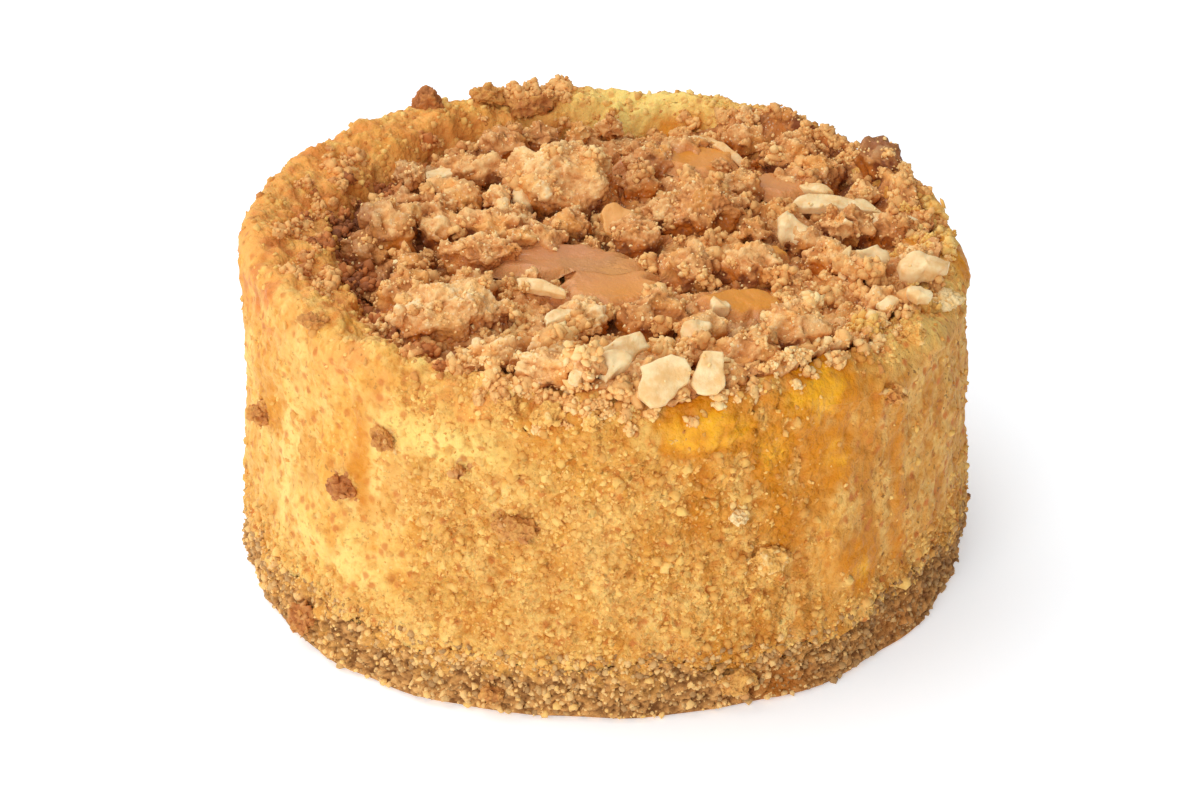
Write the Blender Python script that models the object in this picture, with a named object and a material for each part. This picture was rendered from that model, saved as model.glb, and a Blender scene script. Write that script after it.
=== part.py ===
# A small round baked apple cheesecake, cooked in a ring and turned out without a dish:
# a biscuit layer, the custard body with its raised rim, and the nutty crumble that fills the top.
# Metres, +Z up, the underside's middle at the origin, the side that is seen towards -Y.
import math
import random

import bpy
import bmesh
from mathutils import Matrix, Vector, noise
from mathutils.bvhtree import BVHTree

MM = 0.001

# Round body: radius at the foot, at the waist and the height where it stops narrowing
FOOT_RADIUS = 40.7 * MM
WAIST_RADIUS = 38.9 * MM
WAIST_HEIGHT = 26.0 * MM
FOOT_ROUNDING = 1.3 * MM
TOP_SHIFT = 0.4 * MM
SHOULDER_ROUNDING = 3.0 * MM

# Heights: biscuit layer, middle of the rim, how far the rim leans across X and is swollen at the
# two back quarters, depth of the dip
LAYER_HEIGHT = 6.2 * MM
RIM_HEIGHT = 36.6 * MM
RIM_LEAN = 1.2 * MM
RIM_SWELL = 1.9 * MM
DIP_DEPTH = 3.6 * MM
COVERED_RIM_DROP = 0.9 * MM
RIM_SLOPE = 0.10

# Clearances between the three foods
GAP = 0.3 * MM
CORE_GAP = 0.5 * MM

# Crumble: how far it reaches from the middle as a share of the radius, every 30 degrees from +X
REACH = (0.93, 0.95, 0.88, 0.79, 0.75, 0.70, 0.70, 0.74, 0.87, 0.96, 0.93, 0.90)
WIDEST_DIP = 0.86
CORE_SINK = 1.3 * MM
CORE_EDGE = 0.6 * MM
CORE_SLOPE_WIDTH = 4.0 * MM
WALL_CLEARANCE = 1.3 * MM
WALL_FOOT = 1.2 * MM
WALL_TOP = 1.4 * MM

# Even steps around and up the body, least step between rings, shortest edge left by joining
SEGMENTS = 56
SHORTEST_EDGE = 0.02 * MM
SIDE_STEPS = 6
RING_STEP = 0.3 * MM

# Baked lumps, in millimetres: place across and back, then width, depth and rise
LUMPS = (
    (-4.8, 11.5, 12.5, 10.5, 5.2),
    (-23.0, -1.0, 6.8, 6.4, 3.6),
    (-15.5, -20.8, 10.4, 7.4, 3.9),
    (-20.3, -15.6, 6.6, 5.8, 2.8),
    (-12.6, -6.4, 7.8, 4.6, 2.5),
    (-11.5, 0.0, 6.0, 5.0, 2.8),
    (-18.4, 3.6, 5.6, 5.0, 2.5),
    (11.4, 6.2, 8.4, 7.0, 3.8),
    (21.6, 22.6, 8.4, 6.4, 3.0),
    (31.2, 16.6, 5.0, 4.0, 2.4),
    (19.5, -22.0, 6.8, 6.0, 3.6),
    (9.2, -7.4, 6.6, 5.6, 3.0),
    (4.8, -18.6, 7.0, 5.4, 3.0),
    (14.2, -28.2, 7.0, 5.2, 2.8),
    (15.8, -7.0, 6.2, 5.2, 2.8),
    (26.6, 3.0, 5.6, 5.0, 2.8),
    (-5.6, -33.4, 6.8, 4.8, 2.4),
    (-10.6, -28.8, 5.6, 4.8, 2.6),
)

# Chopped nuts, in millimetres and degrees: place across and back, length, width, turn, lean
NUTS = (
    (-16.7, 14.6, 6.0, 2.2, 8.0, 12.0),
    (-8.8, 7.6, 3.8, 2.4, -10.0, 20.0),
    (1.6, -29.2, 6.0, 3.6, 25.0, 30.0),
    (0.8, -34.4, 3.5, 3.2, 60.0, 35.0),
    (5.6, -36.2, 5.4, 4.8, -20.0, 42.0),
    (10.4, -35.0, 4.8, 4.4, 70.0, 42.0),
    (9.4, -23.4, 3.8, 2.8, 65.0, 40.0),
    (20.3, 1.0, 4.6, 4.2, 70.0, 45.0),
    (25.9, 9.2, 8.2, 3.0, -8.0, 12.0),
    (28.6, -5.2, 3.8, 3.4, 60.0, 35.0),
    (31.8, 4.2, 4.8, 3.2, -25.0, 20.0),
    (33.6, -9.0, 4.9, 3.0, 20.0, 22.0),
    (1.4, 2.4, 5.0, 3.8, 30.0, 25.0),
    (-6.2, -14.8, 5.0, 1.8, -25.0, 18.0),
)
NUT_THICKNESS = 1.7 * MM

# Smaller lumps and crumbs in three grades: how many places are tried, smallest, largest size
MIDDLE_LUMPS = (52, 4.0 * MM, 6.2 * MM)
CRUMBS = (38, 2.1 * MM, 3.3 * MM)
CHIPS = (28, 1.5 * MM, 2.1 * MM)
GOLDEN_TURN = math.radians(137.508)

# A piece that would touch the custard is moved towards the middle in these steps, or left out
MOST_MOVES = 8
MOVE_SHARE = 0.02
CLEAR_SHARE = 1.12

# Caramel lies bare of crumbs here, in millimetres: place across and back, half width, half depth
POOLS = ((-3.0, -8.6, 9.0, 4.0), (0.5, -13.6, 5.2, 3.4), (16.0, -15.4, 4.6, 2.6))

# Crumbs caught on the bare rim: degrees round, distance from the middle, width and rise
RIM_CRUMBS = (
    (126.0, 36.4 * MM, 4.2 * MM, 3.0 * MM),
    (105.0, 33.8 * MM, 6.6 * MM, 2.6 * MM),
    (98.0, 37.0 * MM, 1.8 * MM, 1.6 * MM),
    (113.0, 34.6 * MM, 3.6 * MM, 1.8 * MM),
    (219.0, 37.6 * MM, 3.0 * MM, 1.4 * MM),
    (186.0, 34.0 * MM, 2.6 * MM, 1.0 * MM),
    (262.0, 38.6 * MM, 3.2 * MM, 1.8 * MM),
    (268.5, 38.9 * MM, 2.4 * MM, 1.6 * MM),
    (256.0, 38.7 * MM, 2.2 * MM, 1.4 * MM),
    (327.0, 37.8 * MM, 2.8 * MM, 1.6 * MM),
    (343.0, 37.6 * MM, 4.2 * MM, 1.6 * MM),
)

# Crumbs caught in the side of the custard: degrees round, height, width and height of the crumb
SIDE_CRUMBS = (
    (227.0, 21.0 * MM, 3.6 * MM, 2.8 * MM),
    (205.0, 23.0 * MM, 2.2 * MM, 3.0 * MM),
    (236.0, 28.8 * MM, 2.6 * MM, 2.4 * MM),
    (257.0, 21.6 * MM, 5.0 * MM, 2.6 * MM),
    (249.0, 27.4 * MM, 1.6 * MM, 1.4 * MM),
    (290.0, 22.5 * MM, 1.8 * MM, 1.7 * MM),
    (295.0, 16.6 * MM, 4.2 * MM, 3.2 * MM),
    (318.0, 30.4 * MM, 2.6 * MM, 2.2 * MM),
)

# Lumps of biscuit that stand out of the bottom layer, in the same order
LAYER_CRUMBS = (
    (219.0, 3.3 * MM, 3.8 * MM, 3.4 * MM),
    (290.0, 3.2 * MM, 4.6 * MM, 3.0 * MM),
    (254.0, 2.6 * MM, 2.8 * MM, 2.2 * MM),
)


def clear_scene():
    for thing in list(bpy.data.objects):
        bpy.data.objects.remove(thing, do_unlink=True)


def food_material(name, colour, roughness):
    material = bpy.data.materials.new(name)
    material.use_nodes = True
    shader = material.node_tree.nodes["Principled BSDF"]
    shader.inputs["Base Color"].default_value = (colour[0], colour[1], colour[2], 1.0)
    shader.inputs["Roughness"].default_value = roughness
    shader.inputs["Metallic"].default_value = 0.0
    material.diffuse_color = (colour[0], colour[1], colour[2], 1.0)
    material.roughness = roughness
    return material


# Shapes of the surfaces


def ease(share):
    share = min(max(share, 0.0), 1.0)
    return share * share * (3.0 - 2.0 * share)


def rough(x, y, z, grain, seed):
    return noise.noise(Vector((x / grain + seed, y / grain - seed, z / grain + 0.5 * seed)))


def skin_radius(theta, z):
    taper = (1.0 - min(z, WAIST_HEIGHT) / WAIST_HEIGHT) ** 1.5
    radius = WAIST_RADIUS + (FOOT_RADIUS - WAIST_RADIUS) * taper
    radius += TOP_SHIFT * math.cos(theta) * min(z, WAIST_HEIGHT) / WAIST_HEIGHT
    radius += 0.18 * MM * math.sin(2.0 * theta + 0.8) + 0.18 * MM * math.sin(5.0 * theta + z * 120.0)
    radius += 0.7 * MM * rough(radius * math.cos(theta), radius * math.sin(theta), z, 7.0 * MM, 3.1)
    return radius


def foot_tuck(z):
    low = max(FOOT_ROUNDING - z, 0.0)
    return FOOT_ROUNDING - math.sqrt(max(FOOT_ROUNDING ** 2 - low ** 2, 0.0))


def layer_top(theta):
    wave = 0.45 * math.sin(3.0 * theta + 2.4) + 0.3 * math.sin(7.0 * theta) - 0.5 * math.sin(theta)
    wave += 1.3 * rough(math.cos(theta), math.sin(theta), 0.0, 0.18, 8.7)
    return LAYER_HEIGHT + wave * MM


def reach(theta):
    step = math.degrees(theta) % 360.0 / 30.0
    low = int(step) % 12
    share = ease(step - int(step))
    return REACH[low] * (1.0 - share) + REACH[(low + 1) % 12] * share


def crumble_edge(theta):
    ragged = 1.6 * MM * rough(math.cos(theta), math.sin(theta), 0.0, 0.16, 4.9)
    return reach(theta) * WAIST_RADIUS + ragged


def dip_radius(theta):
    return min(crumble_edge(theta) + WALL_CLEARANCE, WIDEST_DIP * WAIST_RADIUS)


def top_plane(x):
    return RIM_HEIGHT - RIM_LEAN * x / WAIST_RADIUS


def rim_height(theta, distance):
    x = distance * math.cos(theta)
    y = distance * math.sin(theta)
    covered = ease((reach(theta) - 0.84) / 0.10)
    bumps = 1.6 * MM * rough(x, y, 0.0, 8.0 * MM, 5.3) + 0.3 * MM * math.sin(4.0 * theta + 1.1)
    swell = RIM_SWELL * 0.5 * (1.0 - math.cos(4.0 * theta)) * math.sqrt(max(math.sin(theta), 0.0))
    inward = max(WAIST_RADIUS - SHOULDER_ROUNDING - distance, 0.0)
    return top_plane(x) + swell + bumps - covered * COVERED_RIM_DROP - RIM_SLOPE * inward


def custard_top(x, y):
    distance = math.hypot(x, y)
    theta = math.atan2(y, x)
    floor = top_plane(x) - DIP_DEPTH
    wall = ease((distance - dip_radius(theta) + WALL_FOOT) / (WALL_FOOT + WALL_TOP))
    rim = rim_height(theta, distance)
    round_start = skin_radius(theta, RIM_HEIGHT) - SHOULDER_ROUNDING
    past = min(max(distance - round_start, 0.0), SHOULDER_ROUNDING)
    rim -= SHOULDER_ROUNDING - math.sqrt(SHOULDER_ROUNDING ** 2 - past ** 2)
    return floor + (rim - floor) * wall


def core_top(x, y):
    distance = math.hypot(x, y)
    edge = crumble_edge(math.atan2(y, x))
    under = custard_top(x, y) + CORE_GAP
    target = top_plane(x) - CORE_SINK + 0.9 * MM * rough(x, y, 0.0, 5.0 * MM, 1.7)
    extra = max(target - under - CORE_EDGE, 0.0)
    return under + CORE_EDGE + extra * ease((edge - distance) / CORE_SLOPE_WIDTH)


# Building closed bodies from rings


def angles():
    return [2.0 * math.pi * step / SEGMENTS for step in range(SEGMENTS)]


def ring(radius_of, height_of):
    points = []
    for theta in angles():
        distance = radius_of(theta)
        points.append(Vector((distance * math.cos(theta), distance * math.sin(theta), height_of(theta))))
    return points


def surface_ring(radius_of, height_at, lift):
    points = []
    for theta in angles():
        x = radius_of(theta) * math.cos(theta)
        y = radius_of(theta) * math.sin(theta)
        points.append(Vector((x, y, height_at(x, y) + lift)))
    return points


def lofted(rings, low_middle, high_middle):
    bm = bmesh.new()
    rows = [[bm.verts.new(point) for point in points] for points in rings]
    for lower, upper in zip(rows, rows[1:]):
        for step in range(SEGMENTS):
            after = (step + 1) % SEGMENTS
            bm.faces.new((lower[step], lower[after], upper[after], upper[step]))
    if low_middle is None:
        bm.faces.new(list(reversed(rows[0])))
    else:
        middle = bm.verts.new(low_middle)
        for step in range(SEGMENTS):
            bm.faces.new((middle, rows[0][(step + 1) % SEGMENTS], rows[0][step]))
    middle = bm.verts.new(high_middle)
    for step in range(SEGMENTS):
        bm.faces.new((middle, rows[-1][step], rows[-1][(step + 1) % SEGMENTS]))
    bmesh.ops.triangulate(bm, faces=bm.faces[:])
    bmesh.ops.recalc_face_normals(bm, faces=bm.faces[:])
    return bm


def to_object(name, bm, material):
    mesh = bpy.data.meshes.new(name)
    bm.to_mesh(mesh)
    bm.free()
    mesh.materials.append(material)
    thing = bpy.data.objects.new(name, mesh)
    bpy.context.scene.collection.objects.link(thing)
    return thing


def keep_largest(bm):
    unseen = set(bm.faces)
    shells = []
    while unseen:
        stack = [unseen.pop()]
        shell = []
        while stack:
            face = stack.pop()
            shell.append(face)
            for edge in face.edges:
                for other in edge.link_faces:
                    if other in unseen:
                        unseen.discard(other)
                        stack.append(other)
        shells.append(shell)
    shells.sort(key=len)
    for shell in shells[:-1]:
        bmesh.ops.delete(bm, geom=shell, context="FACES")


def drop_short_edges(bm):
    for edge in [edge for edge in bm.edges if edge.calc_length() < SHORTEST_EDGE]:
        if not edge.is_valid:
            continue
        first, second = edge.verts
        beside = {link.other_vert(first) for link in first.link_edges}
        shared = beside & {link.other_vert(second) for link in second.link_edges}
        if len(shared) == 2:
            bmesh.ops.collapse(bm, edges=[edge])


def fused(name, core, pieces, material):
    body = to_object(name, core, material)
    helpers = bpy.data.collections.new(name + "_pieces")
    bpy.context.scene.collection.children.link(helpers)
    for number, piece in enumerate(pieces):
        mesh = bpy.data.meshes.new(f"{name}_piece_{number}")
        piece.to_mesh(mesh)
        piece.free()
        helper = bpy.data.objects.new(mesh.name, mesh)
        helpers.objects.link(helper)
    join = body.modifiers.new("join", "BOOLEAN")
    join.operation = "UNION"
    join.operand_type = "COLLECTION"
    join.collection = helpers
    join.solver = "MANIFOLD"
    bpy.context.view_layer.update()
    graph = bpy.context.evaluated_depsgraph_get()
    result = bpy.data.meshes.new_from_object(body.evaluated_get(graph))
    body.modifiers.clear()
    for helper in list(helpers.objects):
        bpy.data.objects.remove(helper, do_unlink=True)
    bpy.data.collections.remove(helpers)
    bm = bmesh.new()
    bm.from_mesh(result)
    bmesh.ops.triangulate(bm, faces=bm.faces[:], quad_method="SHORT_EDGE", ngon_method="EAR_CLIP")
    keep_largest(bm)
    drop_short_edges(bm)
    bmesh.ops.recalc_face_normals(bm, faces=bm.faces[:])
    bm.to_mesh(body.data)
    bm.free()
    return body


# Small pieces


def knobbly(subdivisions, size, seed, depth_of_bumps):
    bm = bmesh.new()
    if subdivisions == 0:
        bmesh.ops.create_uvsphere(bm, u_segments=7, v_segments=4, radius=1.0)
        bmesh.ops.triangulate(bm, faces=bm.faces[:])
    else:
        bmesh.ops.create_icosphere(bm, subdivisions=subdivisions, radius=1.0)
    for vert in bm.verts:
        bump = noise.noise(vert.co * 1.9 + Vector((seed * 3.7, seed, -seed)))
        vert.co *= 1.0 + depth_of_bumps * bump
    bmesh.ops.scale(bm, vec=size, verts=bm.verts[:])
    return bm


def chipped(size, seed):
    bm = bmesh.new()
    bmesh.ops.create_cube(bm, size=1.0)
    for vert in bm.verts:
        vert.co *= 0.8 + 0.35 * noise.noise(vert.co * 2.3 + Vector((seed, 2.0 * seed, -seed)))
    turn = Matrix.Rotation(seed * 2.7, 3, "Z") @ Matrix.Rotation(seed * 1.9, 3, "X")
    bmesh.ops.rotate(bm, matrix=turn, verts=bm.verts[:])
    bmesh.ops.scale(bm, vec=size, verts=bm.verts[:])
    bmesh.ops.triangulate(bm, faces=bm.faces[:])
    return bm


def rest_on_custard(bm, clearance):
    for vert in bm.verts:
        low = custard_top(vert.co.x, vert.co.y) + clearance
        vert.co.z = max(vert.co.z, low)


def lump(x, y, width, depth, rise, seed):
    subdivisions = 3 if width > 10.0 * MM else 2 if width > 6.2 * MM else 0
    bm = knobbly(subdivisions, Vector((width, depth, rise * 2.0)) * 0.55, seed, 0.32)
    bmesh.ops.rotate(bm, matrix=Matrix.Rotation(0.4 * math.sin(seed * 5.0), 3, "Z"), verts=bm.verts[:])
    bmesh.ops.translate(bm, vec=(x, y, core_top(x, y)), verts=bm.verts[:])
    rest_on_custard(bm, CORE_GAP + 0.15 * MM)
    return bm


def nut(x, y, length, width, turn, lean, seed):
    bm = bmesh.new()
    corners = 7
    rows = []
    for side in (-0.5, 0.5):
        row = []
        for corner in range(corners):
            angle = 2.0 * math.pi * corner / corners
            out = 1.0 + 0.3 * math.sin(seed * 2.3 + corner * 2.1)
            point = Vector((length * math.cos(angle), width * math.sin(angle), 0.0)) * 0.5 * out
            point.z = side * NUT_THICKNESS * (1.0 - 0.4 * abs(math.cos(angle)))
            row.append(bm.verts.new(point))
        rows.append(row)
    bm.faces.new(list(reversed(rows[0])))
    bm.faces.new(rows[1])
    for corner in range(corners):
        after = (corner + 1) % corners
        bm.faces.new((rows[0][corner], rows[0][after], rows[1][after], rows[1][corner]))
    bmesh.ops.triangulate(bm, faces=bm.faces[:])
    spin = Matrix.Rotation(lean, 3, "X") @ Matrix.Rotation(turn, 3, "Z")
    bmesh.ops.rotate(bm, matrix=spin, verts=bm.verts[:])
    up = core_top(x, y) + 0.7 * MM + 0.2 * width * math.sin(lean)
    bmesh.ops.translate(bm, vec=(x, y, up), verts=bm.verts[:])
    rest_on_custard(bm, CORE_GAP + 0.2 * MM)
    bmesh.ops.recalc_face_normals(bm, faces=bm.faces[:])
    return bm


def in_pool(x, y):
    for across, back, half_width, half_depth in POOLS:
        if ((x / MM - across) / half_width) ** 2 + ((y / MM - back) / half_depth) ** 2 < 1.0:
            return True
    return False


def spread(grade, picker):
    tries, smallest, largest = grade
    for number in range(tries):
        theta = GOLDEN_TURN * number + picker.uniform(-0.3, 0.3)
        size = picker.uniform(smallest, largest)
        distance = math.sqrt((number + 0.5) / tries) * (crumble_edge(theta) - 0.3 * size)
        x = distance * math.cos(theta)
        y = distance * math.sin(theta)
        if not in_pool(x, y):
            yield x, y, size, number


def on_big_lump(x, y, share):
    for across, back, width, depth, rise in LUMPS:
        if math.hypot((x / MM - across) / width, (y / MM - back) / depth) < share:
            return True
    return False


def crumb(x, y, size, seed):
    piece = knobbly(1, Vector((size, size * 0.9, size * 0.9)) * 0.55, seed, 0.4)
    bmesh.ops.translate(piece, vec=(x, y, core_top(x, y) + 0.3 * size), verts=piece.verts[:])
    rest_on_custard(piece, CORE_GAP + 0.25 * MM)
    return piece


def chip(x, y, size, seed):
    piece = chipped(Vector((size, size, size)), seed)
    bmesh.ops.translate(piece, vec=(x, y, core_top(x, y) + 0.25 * size), verts=piece.verts[:])
    rest_on_custard(piece, CORE_GAP + 0.25 * MM)
    return piece


def settled(make, x, y, custard):
    for move in range(MOST_MOVES):
        pull = 1.0 - MOVE_SHARE * move
        piece = make(x * pull, y * pull)
        grown = piece.copy()
        middle = sum((vert.co for vert in grown.verts), Vector()) / len(grown.verts)
        away = Matrix.Translation(-middle)
        bmesh.ops.scale(grown, vec=Vector((1.0, 1.0, 1.0)) * CLEAR_SHARE, space=away, verts=grown.verts[:])
        crossing = BVHTree.FromBMesh(grown).overlap(custard)
        grown.free()
        if not crossing:
            return [piece]
        piece.free()
    return []


def placed_pieces(custard):
    pieces = []
    for number, row in enumerate(LUMPS):
        x, y, width, depth, rise = (value * MM for value in row)
        make = lambda x, y: lump(x, y, width, depth, rise, 1.0 + number)
        pieces.extend(settled(make, x, y, custard))
    for number, row in enumerate(NUTS):
        x, y, length, width = (value * MM for value in row[:4])
        turn, lean = (math.radians(value) for value in row[4:])
        make = lambda x, y: nut(x, y, length, width, turn, lean, 1.0 + number)
        pieces.extend(settled(make, x, y, custard))
    return pieces


def scattered_pieces(custard):
    picker = random.Random(11)
    pieces = []
    for x, y, size, number in spread(MIDDLE_LUMPS, picker):
        if not on_big_lump(x, y, 0.55):
            make = lambda x, y: lump(x, y, size, size * 0.9, size * 0.42, 30.0 + number)
            pieces.extend(settled(make, x, y, custard))
    for x, y, size, number in spread(CRUMBS, picker):
        if not on_big_lump(x, y, 0.3):
            pieces.extend(settled(lambda x, y: crumb(x, y, size, 90.0 + number), x, y, custard))
    for x, y, size, number in spread(CHIPS, picker):
        if not on_big_lump(x, y, 0.4):
            pieces.extend(settled(lambda x, y: chip(x, y, size, number), x, y, custard))
    return pieces


def side_bump(theta, distance, height, width, tall, seed):
    subdivisions = 2 if width > 3.0 * MM else 1
    piece = knobbly(subdivisions, Vector((0.8 * MM, width * 0.55, tall * 0.55)), seed, 0.25)
    bmesh.ops.rotate(piece, matrix=Matrix.Rotation(theta, 3, "Z"), verts=piece.verts[:])
    place = Vector((distance * math.cos(theta), distance * math.sin(theta), height))
    bmesh.ops.translate(piece, vec=place, verts=piece.verts[:])
    return piece


# The three foods


def biscuit_base():
    def side_at(share):
        def radius_of(theta):
            z = share * (layer_top(theta) - GAP * 0.5)
            return skin_radius(theta, z) - foot_tuck(z)
        return radius_of

    def height_at(share):
        return lambda theta: share * (layer_top(theta) - GAP * 0.5)

    rings = [ring(lambda theta: side_at(0.0)(theta) - 0.2 * MM, height_at(0.0))]
    for share in (0.06, 0.18, 0.45, 0.72, 1.0):
        rings.append(ring(side_at(share), height_at(share)))
    inner = LAYER_HEIGHT - GAP * 0.5
    rings.append(ring(lambda theta: WAIST_RADIUS - 3.0 * MM, lambda theta: inner))
    core = lofted(rings, None, Vector((0.0, 0.0, inner)))
    pieces = []
    for number, (degrees, height, width, tall) in enumerate(LAYER_CRUMBS):
        theta = math.radians(degrees)
        distance = skin_radius(theta, height) - 0.1 * MM
        pieces.append(side_bump(theta, distance, height, width, tall, 20.0 + number))
    return fused("biscuit_base", core, pieces, food_material("biscuit", (0.42, 0.225, 0.075), 0.9))


def shoulder_ring(past):
    return lambda theta: skin_radius(theta, RIM_HEIGHT) - SHOULDER_ROUNDING * (1.0 - past)


def rim_ring(share):
    def radius_of(theta):
        outer = skin_radius(theta, RIM_HEIGHT) - SHOULDER_ROUNDING
        inside = dip_radius(theta) + WALL_TOP
        return inside + (outer - inside) * share
    return radius_of


def wall_ring(past_wall):
    return lambda theta: dip_radius(theta) + past_wall


def floor_ring(share):
    return lambda theta: dip_radius(theta) * share


def cheesecake():
    inner = LAYER_HEIGHT + GAP * 0.5
    rings = [ring(lambda theta: WAIST_RADIUS - 3.0 * MM, lambda theta: inner)]
    for step in range(SIDE_STEPS + 1):
        def height_of(theta, share=step / SIDE_STEPS):
            low = layer_top(theta) + GAP * 0.5
            high = rim_height(theta, WAIST_RADIUS - SHOULDER_ROUNDING) - SHOULDER_ROUNDING
            return low + (high - low) * share
        rings.append(ring(lambda theta: skin_radius(theta, height_of(theta)), height_of))
    across_top = [shoulder_ring(past) for past in (0.9, 0.65, 0.3)]
    across_top.extend(rim_ring(share) for share in (0.92, 0.5))
    across_top.extend(wall_ring(past_wall) for past_wall in (WALL_TOP, 0.4 * MM, -0.4 * MM, -WALL_FOOT))
    across_top.append(floor_ring(0.5))
    for radius_of in across_top:
        rings.append(surface_ring(radius_of, custard_top, 0.0))
    core = lofted(rings, Vector((0.0, 0.0, inner)), Vector((0.0, 0.0, custard_top(0.0, 0.0))))
    pieces = []
    for number, (degrees, distance, width, rise) in enumerate(RIM_CRUMBS):
        theta = math.radians(degrees)
        x = distance * math.cos(theta)
        y = distance * math.sin(theta)
        subdivisions = 2 if width > 3.5 * MM else 1
        piece = knobbly(subdivisions, Vector((width * 0.5, width * 0.42, rise * 0.6)), 40.0 + number, 0.3)
        bmesh.ops.translate(piece, vec=(x, y, custard_top(x, y) + rise * 0.4), verts=piece.verts[:])
        pieces.append(piece)
    for number, (degrees, height, width, tall) in enumerate(SIDE_CRUMBS):
        theta = math.radians(degrees)
        pieces.append(side_bump(theta, skin_radius(theta, height), height, width, tall, 60.0 + number))
    return fused("cheesecake", core, pieces, food_material("custard", (0.79, 0.44, 0.125), 0.55))


def crumble_topping(custard):
    def held_in(radius_of, order):
        return lambda theta: min(radius_of(theta), crumble_edge(theta) - order * RING_STEP)

    outward = [shoulder_ring(0.65), shoulder_ring(0.3), rim_ring(0.92), rim_ring(0.5)]
    outward.extend((wall_ring(WALL_TOP), wall_ring(-WALL_FOOT), floor_ring(0.5)))
    inside = [held_in(radius_of, order + 1) for order, radius_of in enumerate(outward)]
    rings = [surface_ring(radius_of, custard_top, CORE_GAP) for radius_of in reversed(inside)]
    rings.append(surface_ring(crumble_edge, custard_top, CORE_GAP))
    rings.append(surface_ring(lambda theta: crumble_edge(theta) - 0.5 * RING_STEP, core_top, 0.0))
    upper = [inside[1], inside[3], inside[5]]
    upper.extend(held_in(floor_ring(share), len(inside) + 1) for share in (0.78, 0.5, 0.25))
    for radius_of in upper:
        rings.append(surface_ring(radius_of, core_top, 0.0))
    under = Vector((0.0, 0.0, custard_top(0.0, 0.0) + CORE_GAP))
    core = lofted(rings, under, Vector((0.0, 0.0, core_top(0.0, 0.0))))
    pieces = placed_pieces(custard) + scattered_pieces(custard)
    material = food_material("crumble", (0.60, 0.29, 0.115), 0.8)
    return fused("crumble_topping", core, pieces, material)


clear_scene()
biscuit_base()
body = bmesh.new()
body.from_mesh(cheesecake().data)
crumble_topping(BVHTree.FromBMesh(body))
body.free()
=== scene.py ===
import math
import random

import bmesh
import bpy
import numpy as np
from mathutils import Matrix, Vector, noise
from mathutils.bvhtree import BVHTree


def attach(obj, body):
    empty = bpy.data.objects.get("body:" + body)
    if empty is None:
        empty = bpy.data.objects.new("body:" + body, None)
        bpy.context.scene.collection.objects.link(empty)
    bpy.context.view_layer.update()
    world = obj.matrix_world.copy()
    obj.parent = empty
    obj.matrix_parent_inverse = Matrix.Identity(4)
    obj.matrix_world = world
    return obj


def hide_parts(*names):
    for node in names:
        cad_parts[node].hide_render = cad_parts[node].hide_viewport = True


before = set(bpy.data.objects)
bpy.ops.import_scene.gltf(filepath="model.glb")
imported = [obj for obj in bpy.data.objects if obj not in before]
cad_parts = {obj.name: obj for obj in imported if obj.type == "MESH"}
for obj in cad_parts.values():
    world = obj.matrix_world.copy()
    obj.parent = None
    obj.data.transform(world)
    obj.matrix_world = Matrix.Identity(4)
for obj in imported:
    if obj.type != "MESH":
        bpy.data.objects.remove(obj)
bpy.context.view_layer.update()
mm = 0.001
noise.seed_set(4)  # otherwise the clock seeds noise_vector, and each run is another cake

# The cake's own sizes, as the solids have them, so that every piece lies where its solid is
cake = {
    "footRadius": 40.7 * mm,
    "waistRadius": 38.9 * mm,
    "waistHeight": 26.0 * mm,
    "footRounding": 1.3 * mm,
    "topShift": 0.4 * mm,
    "shoulderRounding": 3.0 * mm,
    "layerHeight": 6.2 * mm,
    "rimHeight": 36.6 * mm,
    "rimLean": 1.2 * mm,
    "rimSwell": 1.9 * mm,
    "dipDepth": 3.6 * mm,
    "coveredRimDrop": 0.9 * mm,
    "rimSlope": 0.10,
    "coreGap": 0.5 * mm,
    "reach": (0.93, 0.95, 0.88, 0.79, 0.75, 0.70, 0.70, 0.74, 0.87, 0.96, 0.93, 0.90),  # every 30 degrees
    "widestDip": 0.86,
    "coreSink": 1.3 * mm,
    "coreEdge": 0.6 * mm,
    "coreSlope": 4.0 * mm,
    "wallClearance": 1.3 * mm,
    "wallFoot": 1.2 * mm,
    "wallTop": 1.4 * mm,
}


def at(theta, distance, z):
    return Vector((distance * math.cos(theta), distance * math.sin(theta), z))


def ease(share):
    share = min(max(share, 0.0), 1.0)
    return share * share * (3.0 - 2.0 * share)


def rough(x, y, z, grain, seed):
    return noise.noise(Vector((x / grain + seed, y / grain - seed, z / grain + 0.5 * seed)))


def skinRadius(theta, z):
    climb = min(z, cake["waistHeight"]) / cake["waistHeight"]
    radius = cake["waistRadius"] + (cake["footRadius"] - cake["waistRadius"]) * (1.0 - climb) ** 1.5
    radius += cake["topShift"] * math.cos(theta) * climb
    radius += 0.18 * mm * math.sin(2.0 * theta + 0.8) + 0.18 * mm * math.sin(5.0 * theta + z * 120.0)
    radius += 0.7 * mm * rough(radius * math.cos(theta), radius * math.sin(theta), z, 7.0 * mm, 3.1)
    return radius


def footTuck(z):
    low = max(cake["footRounding"] - z, 0.0)
    return cake["footRounding"] - math.sqrt(max(cake["footRounding"] ** 2 - low ** 2, 0.0))


def layerTop(theta):
    wave = 0.45 * math.sin(3.0 * theta + 2.4) + 0.3 * math.sin(7.0 * theta) - 0.5 * math.sin(theta)
    wave += 1.3 * rough(math.cos(theta), math.sin(theta), 0.0, 0.18, 8.7)
    return cake["layerHeight"] + wave * mm


def reach(theta):
    step = math.degrees(theta) % 360.0 / 30.0
    low = int(step) % 12
    share = ease(step - int(step))
    return cake["reach"][low] * (1.0 - share) + cake["reach"][(low + 1) % 12] * share


def crumbleEdge(theta):
    ragged = 1.6 * mm * rough(math.cos(theta), math.sin(theta), 0.0, 0.16, 4.9)
    return reach(theta) * cake["waistRadius"] + ragged


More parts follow.
